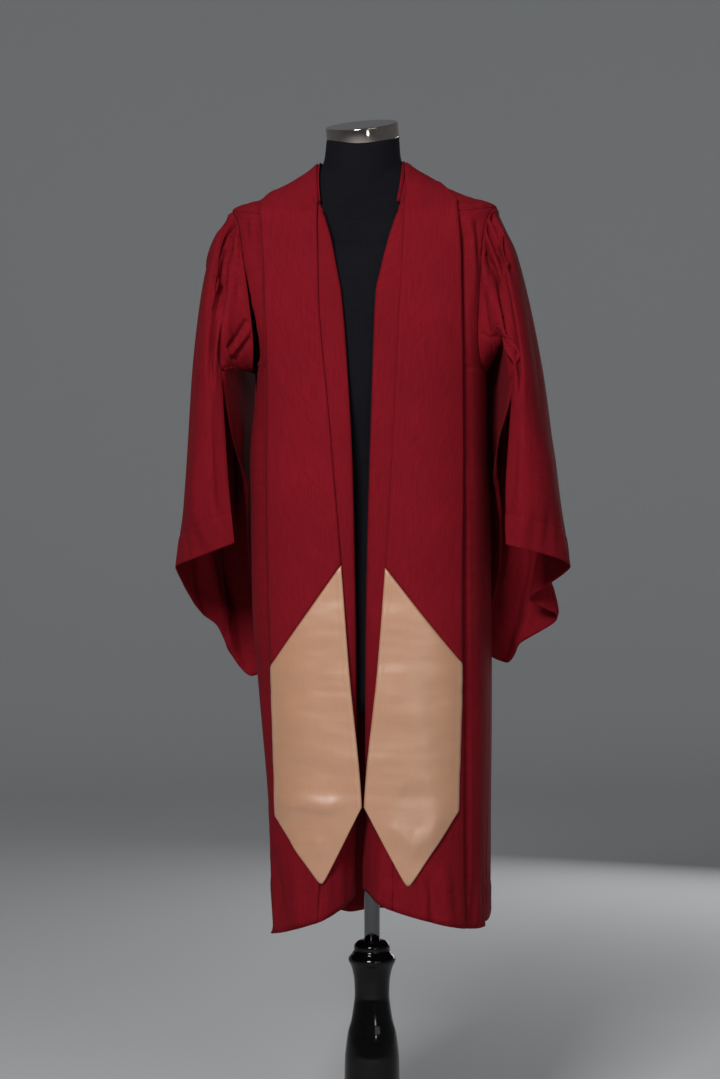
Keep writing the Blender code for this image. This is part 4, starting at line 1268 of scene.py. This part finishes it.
STOLE_COLUMNS = ("z", "right_in", "right_out", "left_in", "left_out")
STOLE_EDGES = (
    (1.500, -0.0760, -0.1660, 0.0560, 0.1250),
    (1.460, -0.0745, -0.1610, 0.0555, 0.1290),
    (1.360, -0.0690, -0.1510, 0.0540, 0.1375),
    (1.290, -0.0653, -0.1470, 0.0513, 0.1390),
    (1.150, -0.0512, -0.1420, 0.0458, 0.1406),
    (1.000, -0.0382, -0.1417, 0.0383, 0.1413),
    (0.913, -0.0310, -0.1408, 0.0330, 0.1400),
    (0.765, -0.0195, -0.1362, 0.0220, 0.1394),
    (0.560, -0.0005, -0.1303, 0.0028, 0.1344),
    (0.400, 0.0030, -0.1260, 0.0000, 0.1314),
)
STOLE = table(STOLE_COLUMNS, STOLE_EDGES, "z")


@dataclass(frozen=True)
class StoleCorners:
    """Heights of a stole's corners, inner edge first."""

    top: tuple[float, float]
    seam: tuple[float, float]
    end: tuple[float, float]
    point: float


@dataclass
class Stole:
    """The stole: one cloth panel down each front, with a pointed satin end."""

    wall: float = 0.0022
    lift: float = 0.0032
    bridge: float = 0.0027
    bridge_at: float = 3.6
    bridge_rings: float = 1.2
    seam_gap: float = 0.0006
    tip_round: float = 0.05
    tip_at: dict[Side, float] = field(default_factory=lambda: {
        Side.RIGHT: 0.445, Side.LEFT: 0.475})
    over_shoulder: dict[Side, Rows] = field(default_factory=lambda: {
        Side.RIGHT: ((179.8, 1.14, 3.25), (135.0, 1.14, 3.05), (90.0, 1.12, 2.72)),
        Side.LEFT: ((179.8, 1.14, 3.25), (135.0, 1.14, 2.90), (90.0, 1.12, 2.34))})
    corners: dict[Side, StoleCorners] = field(default_factory=lambda: {
        Side.RIGHT: StoleCorners((1.462, 1.441), (0.9133, 0.7651), (0.5655, 0.5485), 0.1035),
        Side.LEFT: StoleCorners((1.462, 1.441), (0.9098, 0.7703), (0.5655, 0.5588), 0.1095)})

    def surface(self, ring: np.ndarray, angle: np.ndarray) -> np.ndarray:
        """Points of the stole's own surface, lifted off the gown."""
        front = np.maximum(np.cos(np.radians(angle)), 0)
        bridge = self.bridge * front * bell(ring - self.bridge_at, self.bridge_rings)
        return BODY.lifted(ring, angle, self.lift + bridge)

    def place(self, side: Side, inner: np.ndarray, outer: np.ndarray, point: np.ndarray,
              w: np.ndarray) -> tuple[np.ndarray, np.ndarray]:
        """Rings and angles on the front, w from the inner to the outer edge."""
        x = mix(STOLE[side.word + "_in"](inner), STOLE[side.word + "_out"](outer), w)
        tip = self.tip_at[side]
        slope = np.where(w < tip, (tip - w) / tip, (w - tip) / (1 - tip))
        down = 1 - np.sqrt(slope ** 2 + self.tip_round ** 2 * (1 - slope))
        return BODY.on_front(x, mix(inner, outer, w) - point * down / (1 - self.tip_round))

    def panel(self, side: Side, fine: int) -> Cloth:
        """The cloth panel, from the centre back to the satin's seam."""
        sign, corners = side.value, self.corners[side]
        w = spread(0, 1, 32 * fine)[None, :]
        ring, angle = self.place(side, *corners.top, 0, w)
        ring, angle = ring[0], angle[0]
        turns = [180 - r[0] for r in self.over_shoulder[side]]
        inner = Curve((0, 1, 2, 3), turns + [180 - abs(angle[0])])
        outer = Curve((0, 1, 2, 3), turns + [180 - abs(angle[-1])])
        inner_ring = Curve((0, 1, 2, 3), [r[1] for r in self.over_shoulder[side]] + [ring[0]])
        outer_ring = Curve((0, 1, 2, 3), [r[2] for r in self.over_shoulder[side]] + [ring[-1]])
        t = spread(0, 3, 55 * fine)[:-1, None]
        over = self.surface(mix(inner_ring(t), outer_ring(t), w),
                            sign * (180 - mix(inner(t), outer(t), w)))
        t = spread(0, 1, 110 * fine)[:, None] ** 1.3
        ends = [mix(a, b, t) for a, b in zip(corners.top, corners.seam)]
        down = self.surface(*self.place(side, *ends, 0, w))
        points = np.concatenate([over, down])
        return Cloth(f"stole_{side.word}", points if side is Side.LEFT else points[:, ::-1])

    def end(self, side: Side, fine: int) -> Cloth:
        """The pointed satin end."""
        corners = self.corners[side]
        w = spread(0, 1, 60 * fine + 1)[None, :]
        t = spread(0, 1, 90 * fine)[:, None]
        ends = [mix(a - self.seam_gap, b, t) for a, b in zip(corners.seam, corners.end)]
        points = self.surface(*self.place(side, *ends, corners.point * t, w))
        return Cloth(f"stole_end_{side.word}", points if side is Side.LEFT else points[:, ::-1])

    def dress(self, fine: int, cloth_look: bpy.types.Material,
              satin: bpy.types.Material) -> dict[str, Cloth]:
        """Builds the panels and their satin ends."""
        made = {}
        for side in Side:
            for cloth, look, slot in ((self.panel(side, fine), cloth_look, "maroon_cloth"),
                                      (self.end(side, fine), satin, "gold_satin")):
                if slot == "gold_satin":
                    cloth.fold(SATIN_FOLDS[side])
                    cloth.tuck(Edge.TOP, 0.0008)
                else:
                    cloth.fold(STOLE_FOLDS[side])
                    cloth.tuck(Edge.BOTTOM, 0.0010)
                    cloth.pucker(Edge.BOTTOM, 0.0003, 0.010, 0.019)
                for edge in (Edge.START, Edge.END):
                    cloth.tuck(edge, 0.0007, 0.0018)
                    cloth.press(0.0006 * bell(cloth.from_edge(edge) - 0.0045, 0.0022))
                    cloth.pucker(edge, 0.0003, 0.012, 0.041)
                wide, long, area = cloth.size()
                piece = cloth.build(self.wall, look, slot)
                made[cloth.name] = cloth
        return made


STOLE_FOLDS = {
    Side.RIGHT: (
        Fold(((300, 330), (298, 420), (296, 500), (292, 580)), 0.0012, 20, 20, 0.4, 0.4),
        Fold(((280, 470), (300, 520), (322, 560)), -0.0008, 14, 14, 0.3, 0.3),
    ),
    Side.LEFT: (
        Fold(((430, 300), (428, 400), (426, 500), (430, 580)), 0.0012, 20, 20, 0.4, 0.4),
        Fold(((410, 560), (425, 520), (446, 480)), -0.0008, 14, 14, 0.3, 0.3),
    ),
}
SATIN_FOLDS = {
    Side.RIGHT: (
        Fold(((270, 806), (298, 803), (326, 807), (352, 801)), 0.0048, 7, 12, 0.3, 0.3),
        Fold(((284, 846), (306, 853), (332, 842)), 0.0026, 9, 12, 0.3, 0.3),
        Fold(((276, 770), (300, 764), (340, 772)), -0.0014, 14, 14, 0.3, 0.3),
        Fold(((282, 690), (306, 700), (338, 680)), -0.0014, 16, 16, 0.3, 0.3),
        Fold(((300, 650), (304, 720), (300, 780)), 0.0012, 16, 16, 0.3, 0.3),
    ),
    Side.LEFT: (
        Fold(((386, 806), (398, 832), (412, 845), (428, 836), (446, 802)),
             0.0050, 12, 10, 0.35, 0.35),
        Fold(((398, 790), (414, 800), (432, 790)), -0.0024, 14, 14, 0.3, 0.3),
        Fold(((398, 690), (430, 702), (450, 690)), -0.0014, 16, 16, 0.3, 0.3),
        Fold(((404, 640), (412, 690), (420, 760)), 0.0014, 14, 14, 0.3, 0.3),
        Fold(((380, 740), (404, 748), (446, 736)), 0.0014, 14, 14, 0.3, 0.3),
    ),
}


# Sewing

class Stitches:
    """Rows of thread stitches, laid along lines by one Geometry Nodes tree."""

    pitch: float = 0.0036
    length: float = 0.0026
    width: float = 0.00050
    uneven: float = 0.12
    seed: int = 11

    def __init__(self, thread: bpy.types.Material) -> None:
        """Builds the tree once, for every row.

        Args:
            thread: the stitches' material.
        """
        self.thread = thread
        self.tree = bpy.data.node_groups.new("stitch_row", "GeometryNodeTree")
        face = self.tree.interface
        face.new_socket("Geometry", in_out="INPUT", socket_type="NodeSocketGeometry")
        self.sockets = {}
        for name, kind in (("Pitch", "Float"), ("Length", "Float"), ("Width", "Float"),
                           ("Uneven", "Float"), ("Seed", "Int"), ("Thread", "Material")):
            made = face.new_socket(name, in_out="INPUT", socket_type="NodeSocket" + kind)
            self.sockets[name] = made.identifier
        face.new_socket("Geometry", in_out="OUTPUT", socket_type="NodeSocketGeometry")
        self.lay_out()

    def lay_out(self) -> None:
        """Makes the tree's nodes and links."""
        nodes, links = self.tree.nodes, self.tree.links
        given = nodes.new("NodeGroupInput")
        result = nodes.new("NodeGroupOutput")
        curve = nodes.new("GeometryNodeMeshToCurve")
        even = nodes.new("GeometryNodeResampleCurve")
        even.mode = "LENGTH"
        links.new(given.outputs["Geometry"], curve.inputs["Mesh"])
        links.new(curve.outputs["Curve"], even.inputs["Curve"])
        links.new(given.outputs["Pitch"], even.inputs["Length"])

        bead = nodes.new("GeometryNodeMeshUVSphere")
        bead.inputs["Segments"].default_value = 6
        bead.inputs["Rings"].default_value = 4
        bead.inputs["Radius"].default_value = 0.5
        size = nodes.new("ShaderNodeCombineXYZ")
        links.new(given.outputs["Width"], size.inputs["X"])
        links.new(given.outputs["Width"], size.inputs["Y"])
        links.new(given.outputs["Length"], size.inputs["Z"])
        shape = nodes.new("GeometryNodeTransform")
        links.new(bead.outputs["Mesh"], shape.inputs["Geometry"])
        links.new(size.outputs["Vector"], shape.inputs["Scale"])

        way = nodes.new("GeometryNodeInputTangent")
        turn = nodes.new("FunctionNodeAlignRotationToVector")
        turn.axis = "Z"
        links.new(way.outputs["Tangent"], turn.inputs["Vector"])
        low = nodes.new("ShaderNodeMath")
        low.operation = "SUBTRACT"
        low.inputs[0].default_value = 1.0
        links.new(given.outputs["Uneven"], low.inputs[1])
        high = nodes.new("ShaderNodeMath")
        high.operation = "ADD"
        high.inputs[0].default_value = 1.0
        links.new(given.outputs["Uneven"], high.inputs[1])
        vary = nodes.new("FunctionNodeRandomValue")
        vary.data_type = "FLOAT"
        links.new(low.outputs[0], vary.inputs[2])
        links.new(high.outputs[0], vary.inputs[3])
        links.new(given.outputs["Seed"], vary.inputs["Seed"])

        place = nodes.new("GeometryNodeInstanceOnPoints")
        links.new(even.outputs["Curve"], place.inputs["Points"])
        links.new(shape.outputs["Geometry"], place.inputs["Instance"])
        links.new(turn.outputs["Rotation"], place.inputs["Rotation"])
        links.new(vary.outputs[1], place.inputs["Scale"])
        real = nodes.new("GeometryNodeRealizeInstances")
        look = nodes.new("GeometryNodeSetMaterial")
        links.new(place.outputs["Instances"], real.inputs["Geometry"])
        links.new(real.outputs["Geometry"], look.inputs["Geometry"])
        links.new(given.outputs["Thread"], look.inputs["Material"])
        links.new(look.outputs["Geometry"], result.inputs["Geometry"])

    def sew(self, name: str, lines: Sequence[np.ndarray]) -> bpy.types.Object:
        """Lays stitches along lines.

        Args:
            name: the row's name.
            lines: the points of each line, in order.

        Returns:
            The stitches, as one plain mesh.
        """
        points, edges = [], []
        for line in lines:
            first = len(points)
            points += line.tolist()
            edges += [(k, k + 1) for k in range(first, len(points) - 1)]
        guide = bpy.data.meshes.new(name + "_guide")
        guide.from_pydata(points, edges, [])
        laid = bpy.data.objects.new(name + "_guide", guide)
        bpy.context.scene.collection.objects.link(laid)
        sewing = laid.modifiers.new("stitches", "NODES")
        sewing.node_group = self.tree
        for socket, value in (("Pitch", self.pitch), ("Length", self.length),
                              ("Width", self.width), ("Uneven", self.uneven),
                              ("Seed", self.seed), ("Thread", self.thread)):
            sewing[self.sockets[socket]] = value
        graph = bpy.context.evaluated_depsgraph_get()
        mesh = bpy.data.meshes.new_from_object(laid.evaluated_get(graph))
        mesh.name = name
        bpy.data.objects.remove(laid)
        bpy.data.meshes.remove(guide)
        mesh.materials.clear()
        mesh.shade_smooth()
        return add_piece(name, mesh, self.thread)


# Form and stand

def lathe(profile: Rows, steps: int) -> tuple[list, list]:
    """A closed solid turned round Z, from (radius, height) points, top to bottom.

    Args:
        profile: the outline.
        steps: how many sides the turned solid has.

    Returns:
        Its points and faces.
    """
    points, faces = [(0, 0, profile[0][1])], []
    for r, z in profile:
        for k in range(steps):
            turn = 2 * math.pi * k / steps
            points.append((r * math.cos(turn), r * math.sin(turn), z))
    points.append((0, 0, profile[-1][1]))
    foot = len(points) - 1
    for k in range(steps):
        n = (k + 1) % steps
        faces.append((0, 1 + k, 1 + n))
        for row in range(len(profile) - 1):
            a, b = 1 + row * steps, 1 + (row + 1) * steps
            faces.append((a + k, b + k, b + n, a + n))
        last = 1 + (len(profile) - 1) * steps
        faces.append((foot, last + n, last + k))
    return points, faces


@dataclass
class DressForm:
    """The padded torso under the gown, and the chrome cap on its neck."""

    foot: float = 0.700
    neck_slope: float = 0.313
    neck_roll: float = 0.066
    cap_radius: float = 0.0545
    cap_height: float = 0.0225
    cap_round: float = 0.0016
    seat_gap: float = 0.0003

    def torso(self, fine: int, look: bpy.types.Material) -> bpy.types.Object:
        """The torso, closed top and bottom."""
        rings = np.concatenate([spread(0, 2, 40 * fine)[:-1], spread(2, 11, 70 * fine)])[:, None]
        angle = spread(-180, 180, 120 * fine)[None, :-1]
        inset = table(FORM_COLUMNS, FORM, "ring")
        size = BODY.sizes(rings)
        size["half_width"] = size["half_width"] - inset["side"](rings)
        size["front"] = size["front"] - inset["front"](rings)
        size["back"] = size["back"] - inset["back"](rings)
        size["square"] = inset["square"](rings)
        for height in ("z_front", "z_side", "z_back"):
            size[height] = size[height] - inset["down"](rings)
        size["z_front"] = size["z_front"] - inset["front_down"](rings)
        points = BODY.on_ring(size, angle)
        neck = dict(zip(RING_COLUMNS, RINGS[0]))
        points[0, :, 2] = (neck["z_side"] + points[0, :, 1] * self.neck_slope
                           + (points[0, :, 0] - neck["centre"]) * self.neck_roll)
        points[-1, :, 2] = self.foot
        rows, columns = points.shape[:2]
        index = np.arange(rows * columns).reshape(rows, columns)
        nxt = np.roll(index, -1, axis=1)
        faces = np.stack([index[:-1], index[1:], nxt[1:], nxt[:-1]], -1).reshape(-1, 4).tolist()
        faces += [index[0].tolist(), index[-1][::-1].tolist()]
        mesh = bpy.data.meshes.new("form_torso")
        mesh.from_pydata(points.reshape(-1, 3).tolist(), [], faces)
        mesh.shade_smooth()
        layer = mesh.uv_layers.new(name="UVMap")
        flat = np.array([(v.co.x, v.co.z) for v in mesh.vertices])
        corners = np.array([loop.vertex_index for loop in mesh.loops])
        layer.data.foreach_set("uv", flat[corners].ravel())
        made = add_piece("form_torso", mesh, look)
        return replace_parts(made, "form_torso")

    def cap(self, look: bpy.types.Material) -> bpy.types.Object:
        """The chrome cap, tilted as the neck is."""
        r, h, e = self.cap_radius, self.cap_height, self.cap_round
        turns = [math.radians(a) for a in range(0, 91, 15)]
        profile = [(r - e - 0.003, h)]
        profile += [(r - e + e * math.sin(t), h - e + e * math.cos(t)) for t in turns]
        profile += [(r, h * 0.5)]
        profile += [(r - e + e * math.cos(t), e - e * math.sin(t)) for t in turns]
        points, faces = lathe(profile, 128)
        mesh = bpy.data.meshes.new("neck_cap")
        a, b = math.atan(self.neck_slope), -math.atan(self.neck_roll)
        neck = dict(zip(RING_COLUMNS, RINGS[0]))
        turned = []
        for x, y, z in points:
            y, z = y * math.cos(a) - z * math.sin(a), y * math.sin(a) + z * math.cos(a)
            x, z = x * math.cos(b) + z * math.sin(b), -x * math.sin(b) + z * math.cos(b)
            turned.append((x + neck["centre"], y, z + neck["z_side"] + self.seat_gap))
        mesh.from_pydata(turned, [], faces)
        mesh.shade_smooth()
        made = add_piece("neck_cap", mesh, look)
        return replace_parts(made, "neck_cap")


POST_PROFILE = (
    (0.3490, 0.0210), (0.3403, 0.0270), (0.3345, 0.0270), (0.3320, 0.0288),
    (0.3290, 0.0302), (0.3255, 0.0336), (0.3208, 0.0356), (0.3160, 0.0340),
    (0.3118, 0.0318), (0.3028, 0.0291), (0.2878, 0.0267), (0.2683, 0.0261),
    (0.2488, 0.0282), (0.2293, 0.0314), (0.2113, 0.0362), (0.1918, 0.0390),
    (0.1723, 0.0408), (0.1408, 0.0414), (0.1100, 0.0400), (0.0850, 0.0372),
    (0.0650, 0.0375), (0.0480, 0.0440), (0.0363, 0.0560), (0.0263, 0.0700),
)


@dataclass
class Stand:
    """The pole, the turned post and the round base."""

    pole_radius: float = 0.0117
    pole_top: float = 0.6997
    pole_foot: float = 0.3493
    base_radius: float = 0.165
    base_height: float = 0.026
    steps: int = 96

    def part(self, name: str, profile: Rows, look: bpy.types.Material) -> bpy.types.Object:
        """A turned part that replaces its node."""
        points, faces = lathe(profile, self.steps)
        mesh = bpy.data.meshes.new(name)
        mesh.from_pydata(points, [], faces)
        mesh.shade_smooth()
        made = add_piece(name, mesh, look)
        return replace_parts(made, name)

    def dress(self, steel: bpy.types.Material, lacquer: bpy.types.Material,
              paint: bpy.types.Material) -> None:
        """Builds the stand's three parts."""
        r, top, foot = self.pole_radius, self.pole_top, self.pole_foot
        self.part("pole", ((r - 0.0006, top), (r, top - 0.0006), (r, foot + 0.0006),
                           (r - 0.0006, foot)), steel)
        heights = [-z for z, _ in POST_PROFILE]
        outline = Curve(heights, [r for _, r in POST_PROFILE])
        fine = np.linspace(heights[0], heights[-1], 220)
        profile = [(POST_PROFILE[0][1] - 0.002, POST_PROFILE[0][0])]
        profile += [(float(outline(h)), -float(h)) for h in fine[1:]]
        self.part("stand_post", profile, lacquer)
        r, h = self.base_radius, self.base_height
        self.part("stand_base", ((0.080, h), (r - 0.012, h), (r - 0.006, h - 0.0014),
                                 (r - 0.002, h - 0.005), (r, h - 0.010), (r, 0.004),
                                 (r - 0.001, 0.0012), (r - 0.003, 0.0)), paint)


# Studio

@dataclass
class Studio:
    """A plain pale floor that rises behind the object, and soft lights."""

    pale: tuple[float, float, float] = (0.52, 0.53, 0.54)
    world: float = 0.125
    glow: float = 0.04
    radius: float = 7.5
    rise: float = 7.0
    bend: float = 2.5
    steps: int = 64

    def floor(self) -> bpy.types.Object:
        """The floor and the backdrop all round it, one smooth bowl."""
        line = [(0.6, 0.0), (2.5, 0.0), (self.radius - self.bend, 0.0)]
        for k in range(1, 13):
            a = math.radians(90 * k / 12)
            line.append((self.radius - self.bend * (1 - math.sin(a)),
                         self.bend * (1 - math.cos(a))))
        line.append((self.radius, self.rise))
        points, faces = [(0, 0, 0)], []
        for r, z in line:
            for k in range(self.steps):
                turn = 2 * math.pi * k / self.steps
                points.append((r * math.cos(turn), r * math.sin(turn), z))
        for k in range(self.steps):
            n = (k + 1) % self.steps
            faces.append((0, 1 + k, 1 + n))
            for row in range(len(line) - 1):
                a, b = 1 + row * self.steps, 1 + (row + 1) * self.steps
                faces.append((a + k, b + k, b + n, a + n))
        mesh = bpy.data.meshes.new("floor")
        mesh.from_pydata(points, [], faces)
        mesh.shade_smooth()
        made = bpy.data.objects.new("floor", mesh)
        bpy.context.scene.collection.objects.link(made)
        look = bpy.data.materials.new("floor_pale")
        look.use_nodes = True
        shader = shader_of(look)
        shader.inputs["Base Color"].default_value = (*self.pale, 1)
        shader.inputs["Roughness"].default_value = 0.9
        shader.inputs["Emission Color"].default_value = (*self.pale, 1)
        shader.inputs["Emission Strength"].default_value = self.glow
        mesh.materials.append(look)
        return made

    def light(self, name: str, place: Sequence[float], aim: Sequence[float], size: float,
              watts: float, tall: float = 0.0) -> bpy.types.Object:
        """An area light at a place, aimed at a point."""
        data = bpy.data.lights.new(name, "AREA")
        data.energy, data.size = watts, size
        if tall:
            data.shape, data.size_y = "RECTANGLE", tall
        made = bpy.data.objects.new(name, data)
        bpy.context.scene.collection.objects.link(made)
        made.visible_camera = False
        made.location = place
        way = np.array(aim) - np.array(place)
        flat = math.hypot(way[0], way[1])
        made.rotation_euler = (math.atan2(flat, -way[2]), 0, math.atan2(-way[0], way[1]))
        return made

    def build(self) -> None:
        """Makes the floor, the lights and the even light of the room."""
        self.floor()
        self.light("key", (-0.60, -2.9, 2.6), (0, 0, 1.25), 0.9, 106)
        self.light("fill", (1.9, -2.8, 2.0), (0, 0, 1.2), 1.6, 14)
        self.light("low", (1.1, -2.4, 0.7), (0, 0, 0.5), 0.25, 3)
        self.light("rear", (0.9, 3.0, 1.2), (0, 0, 0.9), 1.6, 20)
        room = bpy.data.worlds.new("room")
        room.use_nodes = True
        room.node_tree.nodes["Background"].inputs["Color"].default_value = (0.9, 0.95, 1.0, 1)
        room.node_tree.nodes["Background"].inputs["Strength"].default_value = self.world
        bpy.context.scene.world = room
        bpy.context.scene.view_settings.view_transform = "Standard"


def sew_seams(stitches: Stitches, pieces: dict[str, Cloth]) -> None:
    """Sews the hems, the facings and the seams that show their thread."""
    off = 0.0010
    hems = [pieces[name].line(Edge.BOTTOM, 0.050, off, 0.004)
            for name in ("back", "front_right", "front_left", "band_right", "band_left")]
    stitches.sew("hem_stitches", hems)
    for side in Side:
        sleeve = pieces[f"sleeve_{side.word}"]
        stitches.sew(f"sleeve_stitches_{side.word}",
                     [sleeve.line(Edge.BOTTOM, 0.045, off, 0.004)])
    seams = [pieces["yoke"].line(Edge.BOTTOM, 0.004, off, 0.003),
             pieces["neckband"].line(Edge.BOTTOM, 0.002, off, 0.003)]
    stitches.sew("seam_stitches", seams)


def main() -> None:
    """Builds the view, every piece and the studio."""
    logging.basicConfig(level=logging.INFO, format="%(message)s")
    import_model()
    VIEW.build()
    fine = 1
    gown = GOWN_CLOTH.build()
    pieces = Gown().dress(fine, gown)
    pieces |= Sleeves().dress(fine, gown)
    pieces |= Stole().dress(fine, STOLE_CLOTH.build(), GOLD_SATIN.build())
    sew_seams(Stitches(THREAD.build()), pieces)
    form = DressForm()
    form.torso(fine, JERSEY.build())
    form.cap(CHROME.build())
    Stand().dress(POLE_STEEL.build(), LACQUER.build(), BASE_PAINT.build())
    Studio().build()
    LOG.info("size written")


if __name__ == "__main__":
    main()
